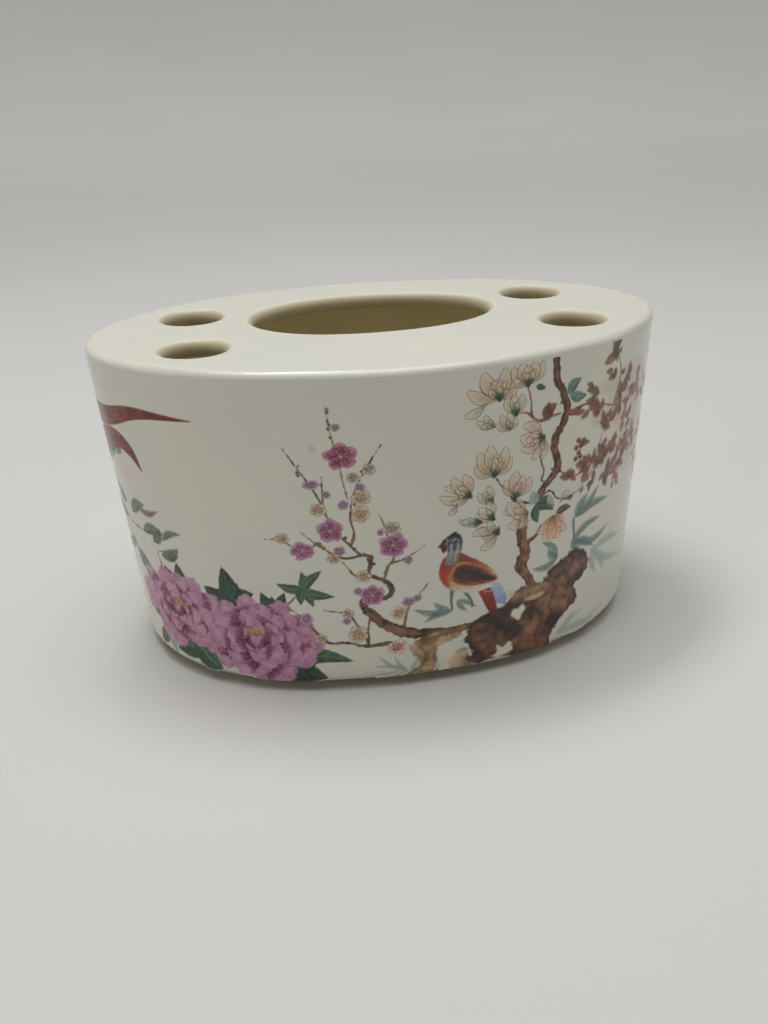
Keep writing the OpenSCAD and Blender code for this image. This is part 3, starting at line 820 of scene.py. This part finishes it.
def paint_magnolia_flowers(c):
    each(c, magnolia, (
        ((21.6, 77.6),
         [(158, 9, 3.4, 0.1), (56, 7.6, 3, -0.1), (142, 6.6, 3.6, -0.08), (30, 5.4, 2.4, -0.12),
          (118, 8.4, 4.2, 0.08), (78, 8, 3.8, -0.05), (100, 5.4, 3.4, 0.05)]),
        ((29.4, 80),
         [(128, 6.6, 3.2, 0.1), (52, 7, 3.2, -0.1), (150, 4.6, 2.2, 0.1), (104, 6, 4, 0.05),
          (70, 6, 3.8, -0.05), (88, 5, 3.2, 0.03)]),
        ((26, 73), [(112, 5.6, 2.8, 0.12), (72, 5.4, 2.6, -0.12), (94, 5.4, 2.6, 0.04)], CREAM),
        ((20.4, 70.8), [(154, 5.4, 2.0, 0.12), (128, 4.4, 2.0, 0.1), (178, 4, 1.6, -0.1)], CREAM, False),
        ((24.4, 69.2),
         [(140, 4.2, 2.2, 0.12), (96, 5, 2.0, -0.06), (118, 5, 2.2, 0.06), (60, 3.4, 1.8, -0.1)],
         CREAM, False),
        ((34.2, 65.6),
         [(148, 7.4, 3.2, -0.12), (196, 7, 3.2, 0.14), (236, 6.6, 2.6, 0.1), (262, 6, 2.4, 0.12),
          (172, 7, 4.2, 0.06), (184, 5.4, 3, -0.06)], BLUSH),
        ((19.8, 57.8),
         [(142, 6.4, 3, 0.14), (44, 6.6, 3, -0.12), (118, 8, 3.4, 0.1), (66, 8, 3.4, -0.1),
          (96, 8.4, 4.2, 0.02), (80, 6, 2.8, -0.03)]),
        ((13.2, 53.4),
         [(172, 8.4, 2.8, 0.12), (108, 6.4, 3, -0.1), (156, 7.6, 3, -0.08), (128, 7.4, 3.4, 0.08),
          (190, 5.4, 2, 0.1), (142, 5, 2.6, 0.05)]),
        ((25.6, 50.6),
         [(112, 6, 3, 0.1), (48, 7, 3, -0.12), (84, 7.4, 3.8, 0.04), (66, 6.4, 3, -0.05)], BLUSH),
        ((19, 50.4), [(136, 5, 2.2, 0.1), (104, 5.2, 2.2, -0.08), (120, 4.4, 2, 0.04)], CREAM),
        ((19.4, 46), [(156, 5.4, 2.6, 0.1), (108, 5.4, 3, -0.06), (134, 5.4, 3, 0.06)], CREAM),
        ((15.6, 45.8), [(164, 6, 1.8, 0.1), (176, 5.4, 1.8, -0.1)], BUD),
        ((20.6, 41.6),
         [(150, 6.6, 2.6, 0.12), (174, 7.4, 2.6, -0.1), (214, 6.4, 2.6, 0.1), (120, 4.8, 2.4, 0.1)], CREAM),
        ((29.4, 45.4),
         [(120, 5.6, 3.2, 0.1), (168, 7.4, 3.6, -0.1), (200, 6.6, 3.4, 0.12), (146, 7.4, 4.2, 0.05),
          (232, 4.4, 2.6, 0.1)], BLUSH, False),
        ((37.6, 42.8),
         [(214, 6.4, 3.4, 0.12), (316, 7, 3.4, -0.12), (242, 7, 4, 0.1), (290, 7.2, 4, -0.1),
          (266, 7, 4, 0)], APRICOT, False)), seed=230, step=10)
    each(c, petal, (
        ((18.2, 77.2), 204, 7, 2.4, CREAM), ((9.6, 52), 230, 4, 1.6, CREAM), ((38, 45.6), 118, 4.4, 2, CREAM),
        ((40, 46), 40, 4.4, 1.6, CREAM)), seed=400)


def paint_nandina(c):
    """A berried shrub that crosses the right end, red and brown leaves with a few olive ones."""
    each(c, twig, (
        ([(42.6, 70.4), (47.4, 71.4), (52, 70.6), (58, 68.6), (66, 68)], [0.7, 0.5, 0.3]),
        ([(38.6, 56), (43, 52.6), (48, 53), (54, 55.6), (62, 56), (72, 53)], [0.6, 0.5, 0.4, 0.3], RUSSET),
        ([(46, 47.6), (50, 50.6), (53, 56), (55, 62), (60, 66)], [0.3, 0.5, 0.4, 0.3], RUSSET),
        ([(56, 62), (59, 70), (61, 77), (58, 84)], [0.4, 0.4, 0.4, 0.3])), seed=390)
    for points, widths in (
            ([(54, 74), (62, 74), (72, 72)], [4, 9, 14]),
            ([(52, 66), (60, 66), (70, 66)], [5, 9, 12]),
            ([(50, 53), (58, 54), (70, 54)], [4, 10, 16])):
        c.stroke(points, widths, (204, 176, 162), 5, 0.45, thick=0.1)
    red, brown, mauve = [RUSSET, RUSSET, OLIVE], [OLIVE, OLIVE, RUSSET], [MAUVE_RED, OLIVE, RUSSET]
    each(c, cluster, (
        ((58, 83.2), (1.6, 2.2), 8, 4.6, brown, 80), ((59.5, 77), (3, 1.6), 5, 3.4, [OLIVE], 20),
        ((65, 74), (3.4, 2.4), 8, 3.8, brown, 40), ((51.5, 73), (2.2, 1.6), 4, 3.6, [OLIVE], 50),
        ((47, 69.4), (2.4, 1.4), 5, 3.2, brown, 10), ((52, 68), (1.4, 2.2), 6, 4.2, red, 80),
        ((56.4, 64.6), (3.2, 2), 8, 3.8, brown, 20), ((61.6, 68), (2.6, 2), 8, 4.0, mauve, 50),
        ((66, 63), (3.4, 3), 11, 3.8, mauve, 60), ((48.4, 61.6), (2, 1), 3, 3.2, brown, 0),
        ((43.4, 52.4), (1.8, 1), 4, 3.6, red, -10), ((48.6, 53.6), (2, 1.8), 7, 3.8, brown, 20),
        ((53.6, 55), (2.2, 2.4), 9, 3.8, red, 50), ((58.6, 57.4), (2.6, 2.4), 10, 3.8, red + mauve, 40),
        ((51, 49), (1.6, 1.6), 5, 3.4, mauve, 80), ((57.6, 50), (3, 1.8), 8, 3.6, red, 30),
        ((63.6, 52), (2.8, 3.2), 11, 3.8, mauve, 60), ((62.6, 46.4), (1.8, 1.6), 5, 3.2, mauve, 80),
        ((69, 57), (2.4, 5), 12, 3.8, mauve, 60), ((70, 70), (2.4, 4), 9, 3.8, mauve, 50),
        ((46.4, 46.8), (1.4, 0.6), 2, 2.8, red, 0)), seed=400, step=20)
    for x, z in ((45.6, 62), (46.4, 60.5), (44.9, 60.1), (45.8, 58.6), (44.8, 57.1), (47.2, 61.4),
                 (46.4, 57.4)):
        c.dot((x, z), 1.5, (128, 46, 50), 0.4, thick=1.2)
        c.dot((x - 0.25, z + 0.3), 0.4, (208, 150, 148), 0.3, 0.8, thick=1.2)
    each(c, spray, (
        ([(72, 66), (80, 70), (88, 67), (95, 60)], 4.6, OLIVE, 9),
        ([(72, 52), (80, 57), (90, 54), (98, 47)], 4.4, RUSSET, 9),
        ([(74, 50), (81, 45), (88, 42)], 4.2, MAUVE_RED, 7),
        ([(86, 62), (94, 70), (102, 72)], 4.2, RUSSET, 7)), seed=900, step=20)


def paint_back_spray(c):
    """A loose flowering spray on the back, where the pot isn't seen."""
    each(c, twig, (
        ([(142, 26), (152, 33), (163, 41), (176, 46), (190, 54)], [1.6, 1.3, 1.0, 0.7, 0.3], BROWN, 0.25),
        ([(158, 37), (160, 47), (168, 56)], [0.8, 0.6, 0.3]),
        ([(166, 43), (178, 39), (188, 38)], [0.7, 0.5, 0.3])), seed=480)
    each(c, spray, (
        ([(188, 38), (193, 40), (197, 44)], 4.2, GREEN, 5),
        ([(142, 26), (140, 32), (141, 38)], 4.6, GREEN, 5)), seed=484, step=6)
    each(c, plum, (
        ((163, 42), 3.6, 0.9), ((168, 56), 3.0, 0.9), ((177, 46.4), 3.2, 0.9),
        ((184, 39), 2.6, 0.9)), seed=500)
    each(c, sketched, (
        ((159.4, 46), 2.0), ((171, 50.6), 1.8), ((190, 54), 1.6), ((152.4, 34), 2.2)), seed=510)


# ---- meshes ----

def add_mesh(name, points, faces, material):
    """A smooth-shaded object from points in mm."""
    mesh = bpy.data.meshes.new(name)
    mesh.from_pydata((np.asarray(points) * MM).tolist(), [], [list(map(int, f)) for f in faces])
    mesh.update()
    mesh.polygons.foreach_set("use_smooth", np.ones(len(mesh.polygons), bool))
    mesh.materials.append(material)
    added = bpy.data.objects.new(name, mesh)
    bpy.context.scene.collection.objects.link(added)
    return added


def mesh_piece(name, points, faces, material, replaced=()):
    """A piece of the pot from points in mm."""
    piece = add_mesh(name, points, faces, material)
    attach(piece, "root")
    if replaced:
        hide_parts(*replaced)
    return piece


def bands(rings, count, first=0):
    """Faces between rings of points that follow each other."""
    k = np.arange(rings - 1)[:, None] * count
    i = np.arange(count)
    after = (i + 1) % count
    quads = np.stack([k + i, k + after, k + count + after, k + count + i], -1) + first
    return quads.reshape(-1, 4)


def arc(start, end, steps):
    """Angles in radians from start to end in degrees."""
    return np.radians(np.linspace(start, end, steps + 1))


def rounded(z, inset, radius, start, end, steps):
    """Rows of [z, inset] round a corner whose middle is at z, inset. 0 faces outward and 90 up."""
    turn = arc(start, end, steps)
    return np.stack([z + radius * np.sin(turn), inset - radius * np.cos(turn)], -1)


def rows_of(profile):
    """The rings of the pot for rows of [z, inset]."""
    profile = np.asarray(profile, float)
    angle = np.linspace(-math.pi, math.pi, AROUND, endpoint=False)
    return surface(angle[None, :], profile[:, :1], profile[:, 1:])


def opening_edge(place, half_length, half_depth, wobble, count):
    """A function that gives the coat's edge in an opening, grown by a distance."""
    angle = np.linspace(0, 2 * math.pi, count, endpoint=False)
    uneven = wobble * (np.sin(2 * angle + 0.7) + 0.6 * np.sin(3 * angle + 2) + 0.4 * np.sin(5 * angle))

    def edge(grow):
        size = grow - BORE_COAT - 2 * wobble + uneven
        x = place[0] + (half_length + size) * np.cos(angle)
        return np.stack([x, place[1] + (half_depth + size) * np.sin(angle)], -1)

    return edge


def opening_edges():
    """The edges of the middle opening and of the four holes."""
    edges = [opening_edge((0, OPENING_SHIFT), *OPENING, 0.1, 220)]
    for hole in HOLES:
        radius = hole["dims"]["r_mm"]
        x, y = hole["pos_m"][0] / MM, hole["pos_m"][1] / MM
        edges.append(opening_edge((x, y), radius, radius, 0.02, 96))
    return edges


def coat_profile():
    """Rows of [z, inset] for the outer glaze, up the heel and the wall and over the shoulder."""
    heel_turn = math.degrees(math.asin((FOOT_BOX[1].z + HEEL - GLAZE - GLAZE_LINE) / HEEL))
    heel = rounded(GLAZE_LINE + HEEL * math.sin(math.radians(heel_turn)), HEEL, HEEL, -heel_turn, 0, 10)
    rolled_edge = [[heel[0, 0] - 0.25, heel[0, 1] + 0.42], [heel[0, 0] - 0.3, heel[0, 1] + 0.1]]
    upright = np.linspace(heel[-1, 0], HEIGHT - SHOULDER, 40)[1:-1]
    shoulder = rounded(HEIGHT - SHOULDER, SHOULDER, SHOULDER, 0, 90, 10)
    return np.vstack([rolled_edge, heel, np.stack([upright, 0 * upright], -1), shoulder,
                      [[HEIGHT, SHOULDER + 0.5]]])


def lip_rings(edge):
    """The coat over a lip, down its bore and under the deck, with its depth in the bore from 0 to 1, which
    sets the painted shade and the dullness there.
    """
    turn = arc(0, 90, 9)
    under = turn[3:]
    grows = np.concatenate([[LIP + 0.6], LIP * (1 - np.sin(turn)), CURL * (1 - np.cos(under)), [4]])
    heights = np.concatenate([[HEIGHT], HEIGHT - LIP * (1 - np.cos(turn)),
                              DECK_UNDERSIDE + 0.45 - CURL * np.sin(under), [DECK_UNDERSIDE - 0.25]])
    # Depth in the bore from 0 to 1: the share of painted shade and of dullness in the glaze. The turn under
    # the deck takes all of it.
    hollow = np.clip((LIP + 0.5 - grows) / (0.95 * LIP), 0, 1)
    hollow[heights <= DECK_UNDERSIDE + 0.5] = 1
    count = len(edge(0))
    rings = np.stack([np.column_stack([edge(g), np.full(count, h)]) for g, h in zip(grows, heights)])
    return rings, np.repeat(hollow, count)


def fill_deck(points, borders):
    """Spots spread over the deck and the triangles between them and its borders, the outer border first."""
    rims = [points[start:start + count, :2] for start, count in borders]
    gap = 3.0
    along, across = (np.arange(-half, half + 1, gap) for half in TOP_OVAL[:2])
    spots = np.stack(np.meshgrid(along, across, indexing="ij"), -1).reshape(-1, 2)
    clear = inside(rims[0], spots[:, 0], spots[:, 1])
    for rim in rims:
        clear &= nearest(np.vstack([rim, rim[:1]]), spots[:, 0], spots[:, 1])[0] > gap / 2
    for rim in rims[1:]:
        clear &= ~inside(rim, spots[:, 0], spots[:, 1])
    spots = spots[clear]
    flat = np.vstack(rims + [spots])
    ids = [np.arange(start, start + count) for start, count in borders]
    ids = np.concatenate(ids + [len(points) + np.arange(len(spots))])
    ties, at = [], 0
    for rim in rims:
        ties += [(at + k, at + (k + 1) % len(rim)) for k in range(len(rim))]
        at += len(rim)
    found = delaunay_2d_cdt([Vector(p) for p in flat], ties, [], 0, 1e-5)
    place = np.array([old[0] for old in found[3]])
    triangles = place[np.array(found[2])]
    middle = flat[triangles].mean(1)
    keep = inside(rims[0], middle[:, 0], middle[:, 1])
    for rim in rims[1:]:
        keep &= ~inside(rim, middle[:, 0], middle[:, 1])
    return spots, ids[triangles[keep]]


def make_glaze_coat(material):
    """The outer glaze: heel, wall, shoulder and deck, and over the lip of each opening down its bore."""
    outside = rows_of(coat_profile())
    total = len(outside) * AROUND
    points, faces, hollow = [outside.reshape(-1, 3)], list(bands(len(outside), AROUND)), [np.zeros(total)]
    borders = [(total - AROUND, AROUND)]
    for edge in opening_edges():
        rings, depth = lip_rings(edge)
        rows, count = rings.shape[:2]
        faces += list(bands(rows, count, total))
        points.append(rings.reshape(-1, 3))
        hollow.append(depth)
        borders.append((total, count))
        total += rows * count
    points = np.vstack(points)
    spots, triangles = fill_deck(points, borders)
    points = settle(np.vstack([points, np.column_stack([spots, np.full(len(spots), HEIGHT)])]))
    coat = mesh_piece("glaze_coat", points, faces + list(triangles), material, ["outer_glaze"])
    # The depth in the bores, which the glaze turns into painted shade and dullness.
    shade = coat.data.attributes.new("hollow", "FLOAT", "POINT")
    shade.data.foreach_set("value", np.concatenate([*hollow, np.zeros(len(spots))]))
    thicken(coat, GLAZE - 0.05)


def thicken(piece, thickness):
    """Gives an open skin its thickness, inwards."""
    solid = piece.modifiers.new("thickness", "SOLIDIFY")
    solid.thickness = thickness * MM
    solid.offset = -1
    solid.use_rim = True


def make_liner_coat(material):
    """The glaze inside: floor, coved corner and wall."""
    skin = WALL + GLAZE
    floor = LINER_BOX[0].z + GLAZE
    cove = 5
    corner = rounded(floor + cove, skin + cove, cove, -90, 0, 8)
    upright = np.linspace(floor + cove, DECK_UNDERSIDE, 20)[1:]
    profile = np.vstack([[[floor, 36], [floor, 24]], corner, [[z, skin] for z in upright]])
    rings = rows_of(profile)
    points = np.vstack([rings.reshape(-1, 3), [[0, 0, floor]]])
    faces = [list(f)[::-1] for f in bands(len(profile), AROUND)]
    faces += [[len(points) - 1, k, (k + 1) % AROUND] for k in range(AROUND)]
    coat = mesh_piece("liner_coat", points, faces, material, ["liner_glaze"])
    thicken(coat, GLAZE - 0.1)


def make_biscuit_base(material):
    """The bare floor, heel and foot ring, as one closed piece."""
    under = FLOOR_BOX[0].z
    top = FLOOR_BOX[1].z
    heel_middle = under - GLAZE + HEEL
    outer, inner = FOOT_INSET, FOOT_INSET + FOOT_WIDTH
    profile = np.vstack([
        [[under, 40], [under, 22], [under, inner + 1]],
        rounded(under - 0.7, inner + 0.7, 0.7, 90, 0, 4),
        rounded(0.8, inner - 0.8, 0.8, 180, 270, 5),
        rounded(0.8, outer + 0.8, 0.8, -90, 0, 5),
        rounded(under - 0.5, outer - 0.5, 0.5, 180, 90, 3),
        rounded(heel_middle, HEEL, HEEL - GLAZE, -90, 0, 9),
        [[top, GLAZE], [top, 12], [top, 36]]])
    rings = rows_of(profile)
    points = np.vstack([rings.reshape(-1, 3), [[0, 0, under], [0, 0, top]]])
    faces = list(bands(len(profile), AROUND))
    last = (len(profile) - 1) * AROUND
    for k in range(AROUND):
        after = (k + 1) % AROUND
        faces.append([len(points) - 2, after, k])
        faces.append([len(points) - 1, last + k, last + after])
    mesh_piece("biscuit_base", points, faces, material, ["floor_plate", "foot_ring"])


def make_enamel(canvas, group, name, material, replaced):
    """The enamel sheet of one painted group, with its edge tucked into the glaze."""
    corners = [canvas.group[:-1, :-1], canvas.group[1:, :-1], canvas.group[1:, 1:], canvas.group[:-1, 1:]]
    cells = np.argwhere(np.maximum.reduce(corners) == group)
    steps = np.array([[0, 0], [1, 0], [1, 1], [0, 1]])
    spots = cells[:, None] + steps
    index = spots[..., 0] * canvas.group.shape[1] + spots[..., 1]
    used, faces = np.unique(index, return_inverse=True)
    faces = faces.reshape(-1, 4)
    i, j = np.divmod(used, canvas.group.shape[1])
    cover, thick = canvas.cover[i, j], canvas.thick[i, j]
    # Bare edges lie just under the glaze, and full paint stands proud of it.
    body = np.clip(cover * 1.6, 0, 1)
    lift = -0.015 + body * (0.035 + 0.05 * thick)
    points = wall(canvas.s[i], canvas.z[j], lift)
    sheet = mesh_piece(name, points, faces, material, replaced)
    colour = canvas.rgb[i, j] / np.maximum(cover, 1e-3)[:, None] / 255
    linear = np.where(colour < 0.04045, colour / 12.92, ((colour + 0.055) / 1.055) ** 2.4)
    paint = sheet.data.color_attributes.new("paint", "FLOAT_COLOR", "POINT")
    paint.data.foreach_set("color", np.column_stack([linear * cover[:, None], cover]).ravel())


# ---- materials ----

class Look:
    """A material and its nodes."""

    def __init__(self, name):
        self.material = bpy.data.materials.new(name)
        self.material.use_nodes = True
        self.tree = self.material.node_tree
        self.shader = self.tree.nodes["Principled BSDF"]
        self.place = self.add("ShaderNodeTexCoord").outputs["Object"]

    def add(self, kind, **settings):
        node = self.tree.nodes.new(kind)
        for key, value in settings.items():
            setattr(node, key, value)
        return node

    def feed(self, socket, value):
        if isinstance(value, bpy.types.NodeSocket):
            self.tree.links.new(value, socket)
        elif socket.type == "RGBA":
            socket.default_value = (*value, 1)
        else:
            socket.default_value = value

    def set(self, name, value):
        """Feeds one of the shader's own sockets."""
        self.feed(self.shader.inputs[name], value)

    def noise(self, size, detail=2.0, rough=0.5):
        """Noise from 0 to 1 in blobs of about size mm."""
        node = self.add("ShaderNodeTexNoise")
        self.feed(node.inputs["Vector"], self.place)
        self.feed(node.inputs["Scale"], 1 / (size * MM))
        self.feed(node.inputs["Detail"], detail)
        self.feed(node.inputs["Roughness"], rough)
        return node.outputs["Fac"]

    def span(self, value, low, high, to_low=0.0, to_high=1.0):
        """Takes the span from low to high to another one."""
        node = self.add("ShaderNodeMapRange")
        for socket, given in zip(node.inputs, (value, low, high, to_low, to_high)):
            self.feed(socket, given)
        return node.outputs["Result"]

    def maths(self, operation, a, b):
        node = self.add("ShaderNodeMath", operation=operation)
        self.feed(node.inputs[0], a)
        self.feed(node.inputs[1], b)
        return node.outputs[0]

    def mix(self, share, a, b):
        node = self.add("ShaderNodeMix", data_type="RGBA")
        self.feed(node.inputs["Factor"], share)
        self.feed(node.inputs["A"], a)
        self.feed(node.inputs["B"], b)
        return node.outputs["Result"]

    def bump(self, height, distance):
        node = self.add("ShaderNodeBump")
        self.feed(node.inputs["Height"], height)
        self.feed(node.inputs["Distance"], distance * MM)
        self.set("Normal", node.outputs["Normal"])


def linear(*srgb):
    """An sRGB colour from 0 to 255 as Blender's linear one."""
    return [(c / 255 / 12.92) if c < 11 else ((c / 255 + 0.055) / 1.055) ** 2.4 for c in srgb]


def glaze_colour(look, base, cool, warm):
    """A glaze with slow drifts of colour, a fine mottle and a few iron specks."""
    drift = look.mix(look.span(look.noise(45), 0.3, 0.7), linear(*base), linear(*cool))
    drift = look.mix(look.span(look.noise(14, 3), 0.55, 0.8, 0, 0.5), drift, linear(*warm))
    cells = look.add("ShaderNodeTexVoronoi", feature="F1")
    look.feed(cells.inputs["Vector"], look.place)
    look.feed(cells.inputs["Scale"], 1 / (5.5 * MM))
    dot = look.span(cells.outputs["Distance"], 0.02, 0.045, 1, 0)
    rare = look.span(look.noise(7, 1), 0.68, 0.7)
    speck = look.maths("MULTIPLY", look.maths("MULTIPLY", dot, rare), 0.55)
    return look.mix(speck, drift, linear(120, 96, 66))


def glaze_relief(look):
    """The faint orange peel and slow waves of a fired glaze."""
    peel = look.maths("MULTIPLY", look.noise(1.6, 2), 0.12)
    look.bump(look.maths("ADD", look.noise(9, 2), peel), 0.16)


WHITE_GLAZE = ((226, 223, 208), (221, 220, 208), (230, 224, 204))
# The liner's white is the glaze's own colour. Its extra warmth over the outer glaze is painted shade for the
# dim inside of the pot.
LINER_GLAZE_AND_SHADE = ((240, 229, 196), (235, 225, 192), (242, 229, 194))
# Painted shade down the bores and under the deck: a darker khaki that stands in for the dim light inside the
# pot.
PAINTED_BORE_SHADE = (189, 179, 145)


def glazed(name, base, cool, warm, roughness=0.09):
    """A clear glaze, which is duller down the bores and takes a painted darker khaki shade there."""
    look = Look(name)
    colour = glaze_colour(look, base, cool, warm)
    hollow = look.add("ShaderNodeAttribute", attribute_name="hollow").outputs["Fac"]
    # Painted shade: the glaze colour turns to a darker khaki down the bores and under the deck.
    look.set("Base Color", look.mix(look.span(hollow, 0.33, 1), colour, linear(*PAINTED_BORE_SHADE)))
    duller = look.maths("MULTIPLY_ADD", hollow, 0.5)
    look.feed(duller.node.inputs[2], look.span(look.noise(6, 3), 0.3, 0.7, roughness, roughness + 0.05))
    look.set("Roughness", duller)
    glaze_relief(look)
    return look.material


def enamelled(name, roughness):
    """Enamel over the white glaze. The paint is in the mesh, already multiplied by its own cover."""
    look = Look(name)
    glaze = glaze_colour(look, *WHITE_GLAZE)
    paint = look.add("ShaderNodeAttribute", attribute_name="paint")
    rest = look.maths("SUBTRACT", 1.0, paint.outputs["Alpha"])
    over = look.add("ShaderNodeVectorMath", operation="MULTIPLY_ADD")
    look.feed(over.inputs[0], glaze)
    look.feed(over.inputs[1], rest)
    look.feed(over.inputs[2], paint.outputs["Color"])
    look.set("Base Color", over.outputs["Vector"])
    look.set("Roughness", look.span(paint.outputs["Alpha"], 0, 1, 0.1, roughness))
    glaze_relief(look)
    return look.material


def fired(name, base, dark, grit, roughness):
    """Bare fired clay: matt, with fine grit and faint stains."""
    look = Look(name)
    colour = look.mix(look.span(look.noise(12, 4), 0.35, 0.7), linear(*base), linear(*dark))
    pits = look.noise(grit, 4, 0.7)
    look.set("Base Color", look.mix(look.span(pits, 0.62, 0.75, 0, 0.4), colour, linear(150, 132, 104)))
    look.set("Roughness", look.span(pits, 0.3, 0.7, roughness, roughness + 0.15))
    look.bump(pits, 0.12)
    return look.material


# ---- the painted groups: name, what paints it, its slot, and the CAD film that it replaces ----

GROUPS = [
    ("peony_leaves", paint_peony_leaves, "peony_enamel", "peony_transfer"),
    ("left_foliage", paint_left_foliage, "peony_enamel", None),
    ("left_peony", paint_left_peony, "peony_enamel", None),
    ("right_peony", paint_right_peony, "peony_enamel", None),
    ("pheasant", paint_pheasant, "pheasant_enamel", "pheasant_transfer"),
    ("bamboo_leaves", paint_bamboo, "magnolia_enamel", None),
    ("nandina_branch", paint_nandina, "nandina_enamel", "nandina_transfer"),
    ("magnolia_trunk", paint_magnolia_trunk, "magnolia_enamel", "magnolia_transfer"),
    ("magnolia_leaves", paint_magnolia_leaves, "magnolia_enamel", None),
    ("magnolia_flowers", paint_magnolia_flowers, "magnolia_enamel", None),
    ("plum_branch", paint_plum_branch, "plum_enamel", "plum_transfer"),
    ("plum_blossoms", paint_plum_blossoms, "plum_enamel", None),
    ("root_rock", paint_rock, "magnolia_enamel", None),
    ("song_bird", paint_bird, "magnolia_enamel", None),
    ("back_spray", paint_back_spray, "sprig_enamel", "sprig_transfer"),
]

canvas = Canvas((PAINTED[0], GLAZE_LINE + 0.2), (PAINTED[1], HEIGHT - SHOULDER), PAINT_GRID)
for number, (_, painter, _, _) in enumerate(GROUPS, 1):
    canvas.current = number
    painter(canvas)

white_glaze = glazed("white_glaze", *WHITE_GLAZE)
make_glaze_coat(white_glaze)
make_liner_coat(glazed("liner_glaze", *LINER_GLAZE_AND_SHADE, roughness=0.2))
make_biscuit_base(fired("biscuit", (222, 212, 190), (206, 192, 164), 0.9, 0.6))
porcelain = fired("porcelain", (226, 220, 206), (216, 208, 192), 1.4, 0.45)
for node in ("cast_wall", "pierced_deck"):
    body = frame["nodes"][node]
    body.data.materials.clear()
    body.data.materials.append(porcelain)

looks = {}
for number, (name, _, slot, film) in enumerate(GROUPS, 1):
    if slot not in looks:
        looks[slot] = enamelled(slot, 0.2)
    make_enamel(canvas, number, name, looks[slot], [film] if film else [])


# ---- studio ----

def make_sweep():
    """A round pale floor that curves up into a wall far from the pot."""
    look = Look("studio")
    drift = look.span(look.noise(400), 0.3, 0.7)
    look.set("Base Color", look.mix(drift, linear(206, 205, 202), linear(209, 208, 205)))
    look.set("Roughness", 0.9)
    radius, bend, top, count = 2000, 1500, 2200, 96
    turn = arc(0, 90, 12)
    profile = [(1, 0), (300, 0), (900, 0)]
    profile += [(radius + bend * math.sin(t), bend * (1 - math.cos(t))) for t in turn]
    profile.append((radius + bend, top))
    angle = np.linspace(0, 2 * math.pi, count, endpoint=False)
    rings = [np.column_stack([r * np.cos(angle), r * np.sin(angle), np.full(count, z)]) for r, z in profile]
    points = np.vstack(rings)
    faces = bands(len(profile), count)[:, ::-1].tolist() + [list(range(count))]
    sweep = add_mesh("studio_sweep", points, faces, look.material)


def add_softbox(name, place, size, power, colour, aim=(0, 0, 44)):
    """An area light that faces the pot, or another place."""
    light = bpy.data.lights.new(name, "AREA")
    light.shape = "RECTANGLE"
    light.size, light.size_y = size[0] * MM, size[1] * MM
    light.energy = power
    light.color = colour
    box = bpy.data.objects.new(name, light)
    box.location = Vector(place) * MM
    box.rotation_euler = (Vector(aim) * MM - box.location).to_track_quat("-Z", "Y").to_euler()
    bpy.context.scene.collection.objects.link(box)


def light_studio():
    """Soft light from above and both sides, a lit backdrop and a dim room."""
    add_softbox("overhead", (-60, 40, 900), (700, 500), 1.5, (0.99, 1.0, 1.03))
    add_softbox("strip", (-120, 160, 820), (300, 130), 1.7, (1.0, 1.0, 1.02))
    for name, place in (("left_side", (-800, -160, 330)), ("right_side", (800, -60, 330))):
        add_softbox(name, place, (350, 500), 0.4, (1.0, 0.98, 0.94))
    add_softbox("backdrop", (0, 1200, 1900), (2600, 900), 9, (1.0, 1.0, 1.0), aim=(0, 3400, 900))
    ceiling = bpy.data.lights.new("ceiling", "SUN")
    ceiling.energy = 1.32
    ceiling.angle = math.radians(60)
    ceiling.color = (1.0, 1.0, 0.99)
    bpy.context.scene.collection.objects.link(bpy.data.objects.new("ceiling", ceiling))
    world = bpy.data.worlds.new("studio_light")
    world.use_nodes = True
    room = world.node_tree.nodes["Background"].inputs
    room["Color"].default_value = (1.0, 0.985, 0.96, 1)
    room["Strength"].default_value = 0.1
    bpy.context.scene.world = world
    bpy.context.scene.view_settings.view_transform = "Standard"


def add_camera():
    """The camera at the photograph's angle, from the pot's middle."""
    azimuth, elevation, roll = (math.radians(a) for a in (-10.2, 24.7, -2.1))
    aim, distance = Vector((-4, -22.5, 0.435 * HEIGHT)), 270
    level = math.cos(elevation)
    back = Vector((math.sin(azimuth) * level, -math.cos(azimuth) * level, math.sin(elevation)))
    right = Vector((math.cos(azimuth), math.sin(azimuth), 0))
    up = back.cross(right)
    across = right * math.cos(roll) + up * math.sin(roll)
    upward = up * math.cos(roll) - right * math.sin(roll)
    data = bpy.data.cameras.new("camera")
    data.lens = 33.8
    camera = bpy.data.objects.new("camera", data)
    turned_camera = Matrix((across, upward, back)).transposed().to_4x4()
    camera.matrix_world = Matrix.Translation((aim + back * distance) * MM) @ turned_camera
    bpy.context.scene.collection.objects.link(camera)
    bpy.context.scene.camera = camera


make_sweep()
light_studio()
add_camera()
